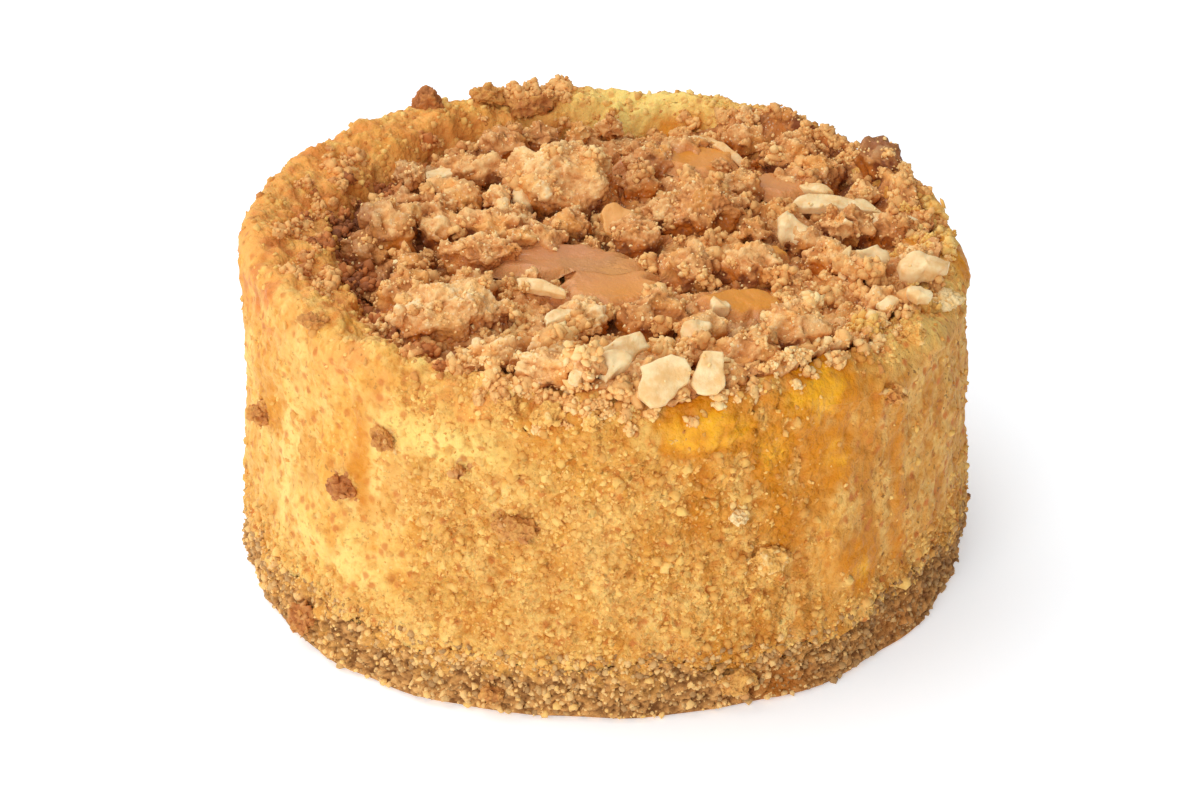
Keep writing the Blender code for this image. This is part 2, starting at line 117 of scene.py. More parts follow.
def dipRadius(theta):
    return min(crumbleEdge(theta) + cake["wallClearance"], cake["widestDip"] * cake["waistRadius"])


def topPlane(x):
    return cake["rimHeight"] - cake["rimLean"] * x / cake["waistRadius"]


def rimTop(theta, distance):
    x = distance * math.cos(theta)
    y = distance * math.sin(theta)
    covered = ease((reach(theta) - 0.84) / 0.10)
    bumps = 1.6 * mm * rough(x, y, 0.0, 8.0 * mm, 5.3) + 0.3 * mm * math.sin(4.0 * theta + 1.1)
    swell = cake["rimSwell"] * 0.5 * (1.0 - math.cos(4.0 * theta)) * math.sqrt(max(math.sin(theta), 0.0))
    inward = max(cake["waistRadius"] - cake["shoulderRounding"] - distance, 0.0)
    return topPlane(x) + swell + bumps - covered * cake["coveredRimDrop"] - cake["rimSlope"] * inward


def custardTop(x, y):
    distance = math.hypot(x, y)
    theta = math.atan2(y, x)
    floor = topPlane(x) - cake["dipDepth"]
    rise = distance - dipRadius(theta) + cake["wallFoot"]
    wall = ease(rise / (cake["wallFoot"] + cake["wallTop"]))
    rounding = cake["shoulderRounding"]
    past = min(max(distance - skinRadius(theta, cake["rimHeight"]) + rounding, 0.0), rounding)
    rim = rimTop(theta, distance) - rounding + math.sqrt(rounding ** 2 - past ** 2)
    return floor + (rim - floor) * wall


def coreTop(x, y):
    edge = crumbleEdge(math.atan2(y, x))
    under = custardTop(x, y) + cake["coreGap"]
    target = topPlane(x) - cake["coreSink"] + 0.9 * mm * rough(x, y, 0.0, 5.0 * mm, 1.7)
    extra = max(target - under - cake["coreEdge"], 0.0)
    return under + cake["coreEdge"] + extra * ease((edge - math.hypot(x, y)) / cake["coreSlope"])


# Finishes. A Level is one number that changes over a surface: sums on it add Math nodes


class Level:
    def __init__(self, finish, socket):
        self.finish = finish
        self.socket = socket

    def maths(self, operation, other, reflected=False):
        first, second = (other, self) if reflected else (self, other)
        return self.finish.node("ShaderNodeMath", {"operation": operation}, {0: first, 1: second})

    def __add__(self, other):
        return self.maths("ADD", other)

    def __radd__(self, other):
        return self.maths("ADD", other, True)

    def __sub__(self, other):
        return self.maths("SUBTRACT", other)

    def __rsub__(self, other):
        return self.maths("SUBTRACT", other, True)

    def __mul__(self, other):
        return self.maths("MULTIPLY", other)

    def __rmul__(self, other):
        return self.maths("MULTIPLY", other, True)

    def step(self, low, high):  # 0 below low, 1 above high, eased between
        settings = {"interpolation_type": "SMOOTHSTEP", "clamp": True}
        return self.finish.node("ShaderNodeMapRange", settings, {0: self, 1: low, 2: high})


class Finish:
    def __init__(self, name):
        self.material = bpy.data.materials.new(name)
        self.material.use_nodes = True
        self.tree = self.material.node_tree
        self.shader = self.tree.nodes["Principled BSDF"]

    def node(self, kind, settings=None, values=None, output=0):
        made = self.tree.nodes.new(kind)
        for key, value in (settings or {}).items():
            if key == "stops":
                stops = made.color_ramp.elements
                for number, (place, shade) in enumerate(value):
                    stop = stops[number] if number < 2 else stops.new(place)
                    stop.position = place
                    stop.color = shade
            else:
                setattr(made, key, value)
        for key, value in (values or {}).items():
            self.put(made.inputs[key], value)
        return Level(self, made.outputs[output])

    def put(self, target, value):
        if isinstance(value, Level):
            self.tree.links.new(value.socket, target)
        else:
            target.default_value = value

    def painted(self, name):
        return self.node("ShaderNodeAttribute", {"attribute_name": name}, output=2)

    def place(self, shift=(0.0, 0.0, 0.0), stretch=(1.0, 1.0, 1.0)):
        spot = self.node("ShaderNodeTexCoord", output=3)
        return self.node("ShaderNodeMapping", None, {0: spot, 1: shift, 3: stretch})

    def grain(self, size, detail=3.0, shift=0.0, stretch=(1.0, 1.0, 1.0)):
        spot = self.place((shift, shift * 0.7, -shift), stretch)
        values = {"Vector": spot, "Scale": 1.0 / size, "Detail": detail, "Roughness": 0.6}
        return self.node("ShaderNodeTexNoise", None, values)

    def cells(self, size, shift=0.0):  # distance to the nearest of many points, as a share of size
        spot = self.place((shift, -shift, shift * 0.3))
        return self.node("ShaderNodeTexVoronoi", None, {"Vector": spot, "Scale": 1.0 / size})

    def blend(self, share, first, second):
        settings = {"data_type": "RGBA", "clamp_factor": True}
        return self.node("ShaderNodeMix", settings, {0: share, 6: first, 7: second}, output=2)

    def ramp(self, share, *stops):
        return self.node("ShaderNodeValToRGB", {"stops": stops}, {0: share})

    def relief(self, height, depth):
        bump = self.node("ShaderNodeBump", None, {"Height": height, "Distance": depth, "Strength": 1.0})
        self.put(self.shader.inputs["Normal"], bump)

    def set(self, **values):
        for key, value in values.items():
            self.put(self.shader.inputs[names[key]], value)


names = {
    "colour": "Base Color",
    "roughness": "Roughness",
    "coat": "Coat Weight",
    "coatRoughness": "Coat Roughness",
    "gloss": "Specular IOR Level",
    "inside": "Subsurface Weight",
    "insideReach": "Subsurface Radius",
    "insideScale": "Subsurface Scale",
    "glow": "Emission Color",
    "glowStrength": "Emission Strength",
}


def colour(red, green, blue):  # from the 0 to 255 that a paint mixer shows
    linear = [((part / 255.0 + 0.055) / 1.055) ** 2.4 for part in (red, green, blue)]
    return (linear[0], linear[1], linear[2], 1.0)


# Meshes: wrapped sheets, fine relief, paint that the finishes read, and many small things joined


def wrappedSheet(rows, steps, place):  # a grid bent round: place(theta, row) gives where each point goes
    bm = bmesh.new()
    bmesh.ops.create_grid(bm, x_segments=steps, y_segments=rows - 1, size=0.5)
    seam = [vert for vert in bm.verts if abs(vert.co.x) > 0.49999]
    for vert in bm.verts:
        theta = -math.pi if vert.co.x > 0.49999 else 2.0 * math.pi * vert.co.x
        vert.co = place(theta, round((vert.co.y + 0.5) * (rows - 1)))
    bmesh.ops.remove_doubles(bm, verts=seam, dist=0.001 * mm)
    return bm


def closeEnds(bm):
    rims = [edge for edge in bm.edges if edge.is_boundary]
    bmesh.ops.holes_fill(bm, edges=rims, sides=0)
    bmesh.ops.triangulate(bm, faces=[face for face in bm.faces if len(face.verts) > 4])
    bmesh.ops.recalc_face_normals(bm, faces=bm.faces[:])


def toPiece(name, bm, finish):
    mesh = bpy.data.meshes.new(name)
    bm.to_mesh(mesh)
    bm.free()
    return addPiece(name, mesh, finish)


def addPiece(name, mesh, finish):
    mesh.shade_smooth()
    mesh.materials.append(finish.material)
    piece = bpy.data.objects.new(name, mesh)
    bpy.context.scene.collection.objects.link(piece)
    return piece


def spots(piece):
    places = np.empty(len(piece.data.vertices) * 3)
    piece.data.vertices.foreach_get("co", places)
    return places.reshape(-1, 3)


def outward(piece):
    normals = np.empty(len(piece.data.vertices) * 3)
    piece.data.vertices.foreach_get("normal", normals)
    return normals.reshape(-1, 3)


def push(piece, heights, lift=0.0):  # moves every point out along its normal, and up
    moved = spots(piece) + outward(piece) * heights[:, None]
    moved[:, 2] += lift
    piece.data.vertices.foreach_set("co", moved.ravel())
    piece.data.update()


def paint(piece, **layers):  # the finishes read these, each from 0 to 1
    made = piece.data.attributes
    for name, values in layers.items():
        layer = made[name] if name in made else made.new(name, "FLOAT", "POINT")
        layer.data.foreach_set("value", np.clip(values, 0.0, 1.0).astype(np.float32))


def waves(places, grain, seed, stretch=(1.0, 1.0, 1.0)):  # soft noise from about -1 to 1
    scaled = places / grain * np.array(stretch) + np.array((seed, -seed, 0.5 * seed))
    return np.array([noise.noise(spot) for spot in scaled.tolist()])


def granules(places, size, seed):  # rounded grains pressed together, 0 in the joints and 1 on top
    scaled = places / size + np.array((seed, 2.0 * seed, -seed))
    tops = []
    tints = []
    for spot in scaled.tolist():
        spot = Vector(spot)
        gaps, centres = noise.voronoi(spot + 0.45 * noise.noise_vector(spot * 1.6))
        tops.append(min((gaps[1] - gaps[0]) * 1.6, 1.0))
        tints.append(noise.cell(centres[0] * 7.3))
    tops = np.array(tops)
    return 0.55 * tops + 0.45 * np.sqrt(tops * (2.0 - tops)), np.array(tints)


def slope(values, low, high):
    share = np.clip((values - low) / (high - low), 0.0, 1.0)
    return share * share * (3.0 - 2.0 * share)


def around(places):  # degrees round from +X, 0 to 360, and height in millimetres
    degrees = np.degrees(np.arctan2(places[:, 1], places[:, 0])) % 360.0
    return degrees, places[:, 2] / mm


def fromMiddle(places):
    return np.hypot(places[:, 0], places[:, 1]) / mm


def apart(degrees, centre):
    return (degrees - centre + 180.0) % 360.0 - 180.0


def bell(degrees, centre, wide):
    return np.exp(-((apart(degrees, centre) / wide) ** 2))


def sector(degrees, begin, end):  # 1 between two angles, each a centre and the span of its slope
    return slope(apart(degrees, begin[0]), *begin[1:]) * (1.0 - slope(apart(degrees, end[0]), *end[1:]))


def smudge(degrees, heights, centre, height, wide, tall):
    return np.exp(-((apart(degrees, centre) / wide) ** 2) - ((heights - height) / tall) ** 2)


def smallShape(rounded, seed, bumps):  # a knobbly little thing: 48 triangles if rounded, or 20
    bm = bmesh.new()
    if rounded:
        bmesh.ops.create_cube(bm, size=1.0)
        bmesh.ops.subdivide_edges(bm, edges=bm.edges[:], cuts=1, use_grid_fill=True)
        for vert in bm.verts:
            vert.co.normalize()
    else:
        bmesh.ops.create_icosphere(bm, subdivisions=1, radius=1.0)
    for vert in bm.verts:
        vert.co *= 1.0 + bumps * noise.noise(vert.co * 2.1 + Vector((seed, 2.0 * seed, -seed)))
    bm.verts.index_update()
    points = np.array([vert.co for vert in bm.verts])
    faces = np.array([[vert.index for vert in face.verts] for face in bm.faces])
    bm.free()
    return points * 0.5, faces


def joined(name, shapes, places, sizes, finish, picker, tints, smooth=True, stretch=0.35):
    count = len(places)
    turns = picker.normal(size=(count, 4))
    turns /= np.linalg.norm(turns, axis=1)[:, None]
    kinds = picker.integers(0, len(shapes), count)
    spread = 1.0 + stretch * picker.uniform(-1.0, 1.0, (count, 3))
    points = []
    corners = []
    shades = []
    start = 0
    sides = shapes[0][1].shape[1]
    for kind, (shape, faces) in enumerate(shapes):
        mine = np.nonzero(kinds == kind)[0]
        if not len(mine):
            continue
        w, x, y, z = turns[mine].T
        spin = np.stack([
            1 - 2 * (y * y + z * z), 2 * (x * y - z * w), 2 * (x * z + y * w),
            2 * (x * y + z * w), 1 - 2 * (x * x + z * z), 2 * (y * z - x * w),
            2 * (x * z - y * w), 2 * (y * z + x * w), 1 - 2 * (x * x + y * y),
        ], axis=1).reshape(-1, 3, 3)
        scaled = shape[None] * (spread[mine] * sizes[mine, None])[:, None, :]
        points.append((np.einsum("nij,nkj->nki", spin, scaled) + places[mine, None, :]).reshape(-1, 3))
        offsets = start + np.arange(len(mine)) * len(shape)
        corners.append((faces[None] + offsets[:, None, None]).reshape(-1, sides))
        shades.append(np.repeat(tints[mine], len(shape)))
        start += len(mine) * len(shape)
    points = np.concatenate(points)
    corners = np.concatenate(corners)
    mesh = bpy.data.meshes.new(name)
    mesh.vertices.add(len(points))
    mesh.vertices.foreach_set("co", points.ravel())
    mesh.loops.add(corners.size)
    mesh.loops.foreach_set("vertex_index", corners.ravel().astype(np.int32))
    mesh.polygons.add(len(corners))
    mesh.polygons.foreach_set("loop_start", np.arange(0, corners.size, sides, dtype=np.int32))
    mesh.update(calc_edges=True)
    piece = addPiece(name, mesh, finish)
    if not smooth:
        mesh.shade_flat()
    paint(piece, tint=np.concatenate(shades))
    return piece


def surfaceOf(*pieces):
    bm = bmesh.new()
    for piece in pieces:
        bm.from_mesh(piece.data)
    tree = BVHTree.FromBMesh(bm)
    bm.free()
    return tree


def landed(surface, target, direction):  # the first point met on the way in to target
    far = 90.0 * mm
    return surface.ray_cast(target + direction * far, -direction, 2.0 * far)[:2]


print("cake: sizes and tools ready")


# The custard body: side, shoulder, rim and the dip under the crumble

custard = {
    "steps": 720,
    "sideRows": 84,
    "shoulderRows": 10,
    "rimRows": 16,
    "wallRows": 8,
    "floorRows": 4,
    "cream": colour(255, 210, 124),
    "yellow": colour(242, 174, 76),
    "tan": colour(216, 164, 90),
    "golden": colour(227, 151, 56),
    "honey": colour(206, 130, 36),
    "fleck": colour(208, 118, 50),
    "toast": colour(250, 174, 88),
    "amber": colour(218, 134, 14),
    "jelly": colour(252, 178, 8),
    "soaked": colour(132, 72, 30),
    "pepper": colour(120, 74, 30),
    "shade": colour(204, 128, 46),
    "rust": colour(172, 92, 38),
    "russet": colour(214, 118, 48),
    "bright": colour(255, 222, 128),
    "left": (185.0, 50.0),  # bells: centre and half width in degrees
    "coarseBack": (85.0, 34.0),
    "brownedLeft": (150.0, 55.0),
    "sunny": ((247.0, 30.0, 13.0, 3.4), (281.0, 32.4, 10.0, 3.0)),  # degrees, mm up, half sizes
    "lowSun": (222.0, 13.0, 24.0, 6.0),
    # backRim: bare pale custard, painted paler still as painted light where the lamps leave it dim
    "backRim": (82.0, 36.0, 17.0, 9.0),  # degrees, mm from the middle, half width, half depth
    "rightRim": (346.0, 38.0, 26.0, 4.0),
    "lifted": (178.0, 38.5, 34.0, 4.0),
    "liftHeight": 1.3,
    "lowered": (117.0, 36.0, 9.0, 5.0),
    "lowerDepth": 0.8,
    "moat": (175.0, 27.0, 28.0, 2.9),
    "backMoat": (118.0, 27.5, 20.0, 2.4),
    "hole": (-14.8, -26.4, 2.0, 1.8),  # a gap painted dark as shade: place across and back, half width, half depth
    "coarseFront": ((268.0, -38.0, -24.0), (268.0, 28.0, 42.0)),  # sectors of the side, in degrees
    "stainedFront": ((284.0, -10.0, 8.0), (330.0, 0.0, 30.0)),
    "tanSide": ((305.0, -6.0, 12.0), (40.0, -5.0, 30.0)),
    "drips": (  # degrees round, top and bottom height in mm, half width in degrees, strength
        (297.0, 33.0, 16.0, 3.6, 0.95),
        (303.5, 34.0, 22.0, 3.4, 1.0),
        (284.0, 28.5, 21.0, 3.6, 0.6),
        (306.0, 15.0, 6.0, 3.0, 0.6),
        (288.0, 10.0, 3.0, 3.4, 0.6),
        (276.0, 33.5, 28.0, 6.0, 0.4),
        (262.0, 33.5, 29.0, 8.0, 0.45),
        (314.0, 33.0, 25.0, 4.0, 0.6),
        (321.0, 30.0, 8.0, 1.8, 0.8),
        (329.0, 32.0, 18.0, 1.6, 0.3),
        (231.0, 30.0, 19.0, 2.0, 0.75),
        (241.0, 26.0, 19.0, 1.4, 0.5),
        (208.0, 31.0, 24.0, 2.0, 0.5),
        (338.0, 20.0, 6.0, 1.6, 0.3),
        (20.0, 33.0, 15.0, 2.6, 0.7),
        (62.0, 32.0, 20.0, 2.0, 0.6),
        (118.0, 33.0, 12.0, 2.8, 0.7),
        (152.0, 30.0, 21.0, 2.0, 0.5),
    ),
    "smears": (  # jelly on the shoulder: degrees round, mm up, half width, half height, strength
        (285.0, 32.4, 7.0, 2.6, 0.95),
        (304.0, 33.6, 7.0, 3.2, 0.95),
        (296.0, 29.0, 4.0, 3.6, 0.6),
        (307.0, 26.0, 4.0, 4.0, 0.5),
        (312.0, 12.0, 4.0, 3.0, 0.55),
        (357.0, 33.8, 5.0, 2.4, 0.6),
        (75.0, 33.5, 6.0, 2.4, 0.5),
    ),
}


def custardPlace(theta, row):
    rows = custard["sideRows"]
    if row < rows:
        low = layerTop(theta) - 0.7 * mm
        high = rimTop(theta, cake["waistRadius"] - cake["shoulderRounding"]) - cake["shoulderRounding"]
        z = low + (high - low) * row / rows
        radius = skinRadius(theta, z)
        return at(theta, radius, z)
    row -= rows
    skin = skinRadius(theta, cake["rimHeight"])
    shoulder = skin - cake["shoulderRounding"]
    wall = dipRadius(theta) + cake["wallTop"]
    foot = dipRadius(theta) - cake["wallFoot"]
    if row <= custard["shoulderRows"]:
        quarter = 0.5 * math.pi * row / custard["shoulderRows"]
        radius = shoulder + cake["shoulderRounding"] * math.cos(quarter) * 0.995
    elif row <= custard["shoulderRows"] + custard["rimRows"]:
        radius = shoulder + (wall - shoulder) * (row - custard["shoulderRows"]) / custard["rimRows"]
    elif row <= custard["shoulderRows"] + custard["rimRows"] + custard["wallRows"]:
        done = row - custard["shoulderRows"] - custard["rimRows"]
        radius = wall + (foot - wall) * done / custard["wallRows"]
    else:
        done = row - custard["shoulderRows"] - custard["rimRows"] - custard["wallRows"]
        radius = foot * (1.0 - 0.9 * done / custard["floorRows"])
    x = radius * math.cos(theta)
    y = radius * math.sin(theta)
    return Vector((x, y, custardTop(x, y)))


def sunny(degrees, heights):  # bare bright custard under the front edge
    return np.maximum(*(smudge(degrees, heights, *spot) for spot in custard["sunny"]))


def crumbly(degrees, heights, mottle):  # where the side is coarse: the front, and low down all round
    front = sector(degrees, *custard["coarseFront"])
    low = 1.0 - slope(heights, 8.0, 14.0)
    back = 0.7 * bell(degrees, *custard["coarseBack"])
    coarse = np.maximum(np.maximum(front, back), 0.75 * low) + 0.35 * mottle
    return np.clip(coarse - 0.65 * sunny(degrees, heights), 0.0, 1.0)


def stained(look, base, share):  # honey-coloured patches that run over the custard and its crumbs alike
    patch = look.grain(3.4 * mm, 4.0, 0.043, (1.0, 1.0, 0.55)).step(0.46, 0.6)
    base = look.blend(patch * share, base, custard["honey"])
    light = look.grain(5.0 * mm, 3.0, 0.093, (1.0, 1.0, 0.7)).step(0.5, 0.64)
    return look.blend(light * 0.4, base, custard["cream"])


def stainShare(places):  # most on the front right, where the glaze ran down
    degrees, heights = around(places)
    right = sector(degrees, *custard["stainedFront"])
    return 0.42 + 0.43 * right - 0.14 * (1.0 - slope(heights, 7.0, 14.0)) * (1.0 - right)


def trench(places):  # how dark a place is painted: the moat by the left wall and behind it, partly syrup and partly painted shade, and a dark hole painted as shade in a low spot
    degrees, distance = around(places)[0], fromMiddle(places)
    left = 1.3 * smudge(degrees, distance, *custard["moat"])
    x, y, wide, deep = custard["hole"]
    hole = np.exp(-(((places[:, 0] / mm - x) / wide) ** 2) - ((places[:, 1] / mm - y) / deep) ** 2)
    back = 0.35 * smudge(degrees, distance, *custard["backMoat"])
    return np.clip(left + hole + back, 0.0, 1.0)


def glazed(places):  # how thick syrup lies on the custard, and how far it is bright jelly
    degrees, heights = around(places)
    wander = 2.0 * waves(places * np.array((0.0, 0.0, 1.0)), 6.0 * mm, 15.0)
    ragged = 1.0 + 0.5 * waves(places, 3.0 * mm, 12.0) + 0.3 * waves(places, 1.3 * mm, 19.0)
    glaze = np.zeros(len(places))
    for centre, top, bottom, wide, strength in custard["drips"]:
        along = slope(heights, bottom - 3.0, bottom + 2.0) * (1.0 - slope(heights, top, top + 3.0))
        line = bell(degrees, centre + wander, np.maximum(wide * ragged, 0.3))
        glaze = np.maximum(glaze, strength * along * line)
    vivid = np.zeros(len(places))
    for centre, height, wide, tall, strength in custard["smears"]:
        vivid = np.maximum(vivid, smudge(degrees, heights, centre, height, wide, tall) * strength)
    ragged = 1.0 + 0.8 * waves(places, 2.6 * mm, 31.0) + 0.7 * waves(places, 1.1 * mm, 35.0)
    vivid = vivid * np.clip(ragged, 0.0, 1.7)
    return np.maximum(glaze, slope(vivid, 0.03, 0.3)), slope(vivid, 0.25, 0.95)


def custardFinish():
    look = Finish("baked_custard")
    broad = look.grain(6.0 * mm, 3.0)
    middle = look.grain(1.7 * mm, 4.0, 0.013)
    fine = look.grain(0.45 * mm, 3.0, 0.031)
    streak = look.grain(2.0 * mm, 4.0, 0.021, (1.0, 1.0, 0.2))
    small = look.grain(0.8 * mm, 3.0, 0.057)
    base = look.blend(broad.step(0.35, 0.65), custard["cream"], custard["yellow"])
    base = look.blend(look.painted("tan") * (0.55 + 0.8 * middle), base, custard["tan"])
    base = look.blend(middle.step(0.5, 0.72) * 0.6, base, custard["golden"])
    base = look.blend(streak.step(0.48, 0.64) * 0.5, base, custard["golden"])
    base = look.blend(small.step(0.5, 0.64) * 0.6, base, custard["golden"])
    base = look.blend((1.0 - small).step(0.52, 0.66) * 0.4, base, custard["cream"])
    base = stained(look, base, look.painted("stain"))
    # pale: bare bright custard, plus painted highlights on the raised left rim and painted light on the
    # back rim
    base = look.blend(look.painted("pale") * (0.5 + middle), base, custard["bright"])
    # painted shade: pits, joints between grains and low places are painted darker
    base = look.blend(look.painted("hollow") * 0.8, base, custard["shade"])
    toast = look.painted("toast") * (0.3 + 0.8 * middle + 0.5 * small)
    base = look.blend(toast.step(0.15, 0.95) * 0.9, base, custard["toast"])
    base = look.blend(look.painted("russet") * (0.4 + 0.9 * middle), base, custard["russet"])
    base = look.blend(look.painted("soaked") * (0.45 + 0.8 * middle), base, custard["soaked"])
    freckle = small.step(0.55, 0.66) * look.painted("pepper")
    base = look.blend(freckle * 0.55, base, custard["shade"])
    patchy = look.grain(2.4 * mm, 2.0, 0.083).step(0.38, 0.6)
    speck = look.grain(0.6 * mm, 2.0, 0.071).step(0.6, 0.68) * patchy
    base = look.blend(speck * look.painted("pepper") * 0.85, base, custard["pepper"])
    rusty = (1.0 - look.cells(1.5 * mm, 0.031).step(0.12, 0.34)) * small.step(0.42, 0.56)
    base = look.blend(rusty * look.painted("pepper") * 0.85, base, custard["rust"])
    fleck = 1.0 - look.cells(1.8 * mm, 0.017).step(0.12, 0.34)
    base = look.blend(fleck * (0.5 + 0.45 * look.painted("pepper")), base, custard["fleck"])
    glaze = look.painted("glaze")
    syrup = look.blend(look.painted("vivid") * (0.6 + 0.6 * middle), custard["amber"], custard["jelly"])
    base = look.blend(glaze * (0.55 + 0.8 * middle), base, syrup)
    look.set(
        colour=base,
        roughness=0.62 - 0.25 * glaze + 0.1 * fine - 0.2 * look.painted("russet"),
        coat=look.painted("vivid") * 0.4,
        coatRoughness=0.2,
        gloss=0.25,
        inside=0.15,
        insideReach=(1.0, 0.55, 0.22),
        insideScale=1.6 * mm,
    )
    grit = look.cells(0.6 * mm, 0.011) * look.painted("coarse")
    look.relief(fine * 0.5 + middle * 0.3 + small * 0.5 - grit * 0.7, 0.42 * mm)
    return look


def makeCustard():
    parts = ("sideRows", "shoulderRows", "rimRows", "wallRows", "floorRows")
    bm = wrappedSheet(sum(custard[part] for part in parts) + 1, custard["steps"], custardPlace)
    closeEnds(bm)
    piece = toPiece("custard_body", bm, custardFinish())
    places = spots(piece)
    degrees, heights = around(places)
    distance = fromMiddle(places)
    onSide = 1.0 - slope(38.5 - distance, 0.0, 3.0)
    onRim = 1.0 - onSide
    mottle = waves(places, 4.0 * mm, 7.7)
    left = bell(degrees, *custard["left"])
    coarse = np.maximum(crumbly(degrees, heights, mottle) * onSide, (0.35 + 0.4 * left) * onRim)

    # Relief, in millimetres
    grains, tints = granules(places, 1.2 * mm, 2.2)
    smallGrains = granules(places, 0.62 * mm, 5.1)[0]
    soft = waves(places, 2.6 * mm, 1.3)
    streaks = waves(places, 2.0 * mm, 9.4, (1.0, 1.0, 0.3))
    pits = slope(waves(places, 1.5 * mm, 12.5), 0.36, 0.62)
    height = 0.3 * soft + 0.2 * streaks + 0.27 * waves(places, 0.8 * mm, 4.6)
    rimmed = 0.55 * waves(places, 3.4 * mm, 17.0) + 0.5 * waves(places, 1.6 * mm, 27.0)
    height = height + onRim * (rimmed + 0.3 * waves(places, 0.9 * mm, 37.0))
    height = height + coarse * (0.42 * (grains - 0.6) + 0.26 * (smallGrains - 0.5) + 0.3 * (tints - 0.5))
    height = height - 0.45 * pits * (0.5 + 0.7 * coarse)
    lift = custard["liftHeight"] * smudge(degrees, distance, *custard["lifted"])
    lift = lift - custard["lowerDepth"] * smudge(degrees, distance, *custard["lowered"])
    push(piece, np.clip(height, -0.7, 0.6) * mm, lift * slope(heights, 28.0, 33.0) * mm)

    # Paint: painted shade in the pits, joints and low places, then what is pale (with painted highlights
    # on the raised left rim), browned, wet with syrup and dark with it (partly painted shade in the
    # creases and the moat)
    # the back rim: bare pale custard, painted paler still as painted light for its dim inner slope
    pale = smudge(degrees, distance, *custard["backRim"])
    bare = 1.0 - 0.85 * pale
    # painted shade in the pits, the joints and the low places, with less of it on the pale back rim
    hollow = coarse * (1.0 - grains) * 0.4 + 0.8 * pits * (0.6 + 0.4 * coarse)
    hollow = hollow + slope(-soft, 0.2, 0.7) * 0.4
    paint(piece, hollow=hollow * (1.0 - 0.8 * pale * onRim), coarse=coarse)
    right = sector(degrees, *custard["tanSide"])
    paint(piece, tan=right * (0.75 + 0.5 * mottle))
    lowDust = 1.0 - slope(heights, 5.0, 16.0)
    paint(piece, pepper=np.maximum(right * 0.9, np.maximum(0.45 * onSide, 0.8 * lowDust)) * onSide)

    rightRim = 0.7 * smudge(degrees, distance, *custard["rightRim"]) * slope(heights, 31.0, 34.0)
    bright = sunny(degrees, heights) + 0.5 * smudge(degrees, heights, *custard["lowSun"])
    bright = np.minimum(bright, 1.0) * slope(waves(places, 4.0 * mm, 61.0) + 0.6 * soft, -0.7, 0.1)
    # painted highlight: the raised bumps of the left rim are painted paler
    raisedHighlight = 0.95 * slope(rimmed, 0.05, 0.4) * onRim * np.sqrt(left)
    paint(piece, pale=np.maximum(np.maximum(bright, pale * onRim), np.maximum(rightRim, raisedHighlight)))

    patches = 0.5 * waves(places, 4.5 * mm, 20.2) + 0.6 * waves(places, 1.7 * mm, 3.3)
    patches = slope(patches + 0.4 * waves(places, 0.8 * mm, 6.3) + 0.25 * left, -0.2, 0.5)
    inner = slope(cake["waistRadius"] / mm * 0.9 - distance, 0.0, 5.0)
    browned = patches * 0.75 + inner * (0.6 + 0.8 * mottle)
    browned = browned + 0.35 * bell(degrees, *custard["brownedLeft"])
    toast = slope(heights, 29.0, 33.0) * np.clip(browned, 0.0, 1.0) * bare
    toast = np.maximum(toast, 0.5 * (1.0 - slope(heights, 4.5, 9.0)) * slope(mottle, -0.2, 0.4))
    paint(piece, toast=toast, stain=stainShare(places) * (1.0 - 0.7 * pale))

    blotches = waves(places, 3.4 * mm, 71.0) + 0.6 * waves(places, 1.3 * mm, 75.0) - 0.4 * rimmed
    paint(piece, russet=0.85 * slope(blotches, 0.0, 0.4) * left * slope(heights, 30.0, 34.0))
    glaze = 0.25 * onRim * slope(waves(places, 3.0 * mm, 45.0), 0.0, 0.4) * bare
    syrup, vivid = glazed(places)
    paint(piece, vivid=vivid, glaze=np.maximum(glaze, syrup))
    # soaked: dark with syrup low on the inner wall and on the left; in the creases and the moat it is
    # partly painted shade
    soaked = slope(-heights, -35.2, -33.2) * (0.1 + 0.9 * left ** 2) * bare
    # creaseShade: the rim's low creases on the left painted dark, partly syrup and partly painted shade
    creaseShade = 0.3 * slope(-rimmed, 0.15, 0.5) * left * (1.0 - slope(distance, 36.0, 38.5))
    soaked = (np.maximum(soaked, creaseShade) + trench(places)) * onRim
    paint(piece, soaked=soaked * (0.75 + 0.5 * mottle))
    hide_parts("cheesecake")
    return piece


custardBody = makeCustard()
print("custard:", len(custardBody.data.polygons), "faces")


# The biscuit layer: packed crumbs, darker than the custard

biscuit = {
    "steps": 720,
    "rows": 40,
    "dark": colour(128, 80, 36),
    "middle": colour(210, 150, 84),
    "light": colour(246, 198, 126),
    "dust": colour(236, 172, 82),
    "syrup": colour(190, 108, 16),
    "lowDust": (214.0, 26.0),  # the custard's dust comes further down here: degrees, half width
    "drip": (297.0, 1.6, 4.5, 2.2),  # syrup: degrees, mm up, half width and height
    "secondDrip": (322.0, 2.5, 7.0, 2.5),
    # darkSide: the right of the layer, painted darker as painted shade on that side
    "darkSide": ((300.0, -20.0, 15.0), (30.0, -10.0, 30.0)),
    "lumps": (  # degrees round, then mm up, width and height of the crumb, and paleness
        (219.0, 3.3, 3.8, 3.4, 0.4),
        (290.0, 3.2, 4.6, 3.0, 0.6),
        (254.0, 2.6, 2.8, 2.2, 0.5),
    ),
}


def biscuitPlace(theta, row):
    sideRows = biscuit["rows"] - 3
    top = layerTop(theta) + 0.1 * mm
    if row < 1.0:
        radius = skinRadius(theta, 0.0) - footTuck(0.0) - 0.2 * mm
        return at(theta, radius, 0.0)
    if row <= sideRows:
        z = top * (row - 1.0) / (sideRows - 1.0)
        radius = skinRadius(theta, z) - footTuck(z)
    else:
        z = cake["layerHeight"]
        radius = cake["waistRadius"] - 3.0 * mm * (row - sideRows)
    return at(theta, radius, z)


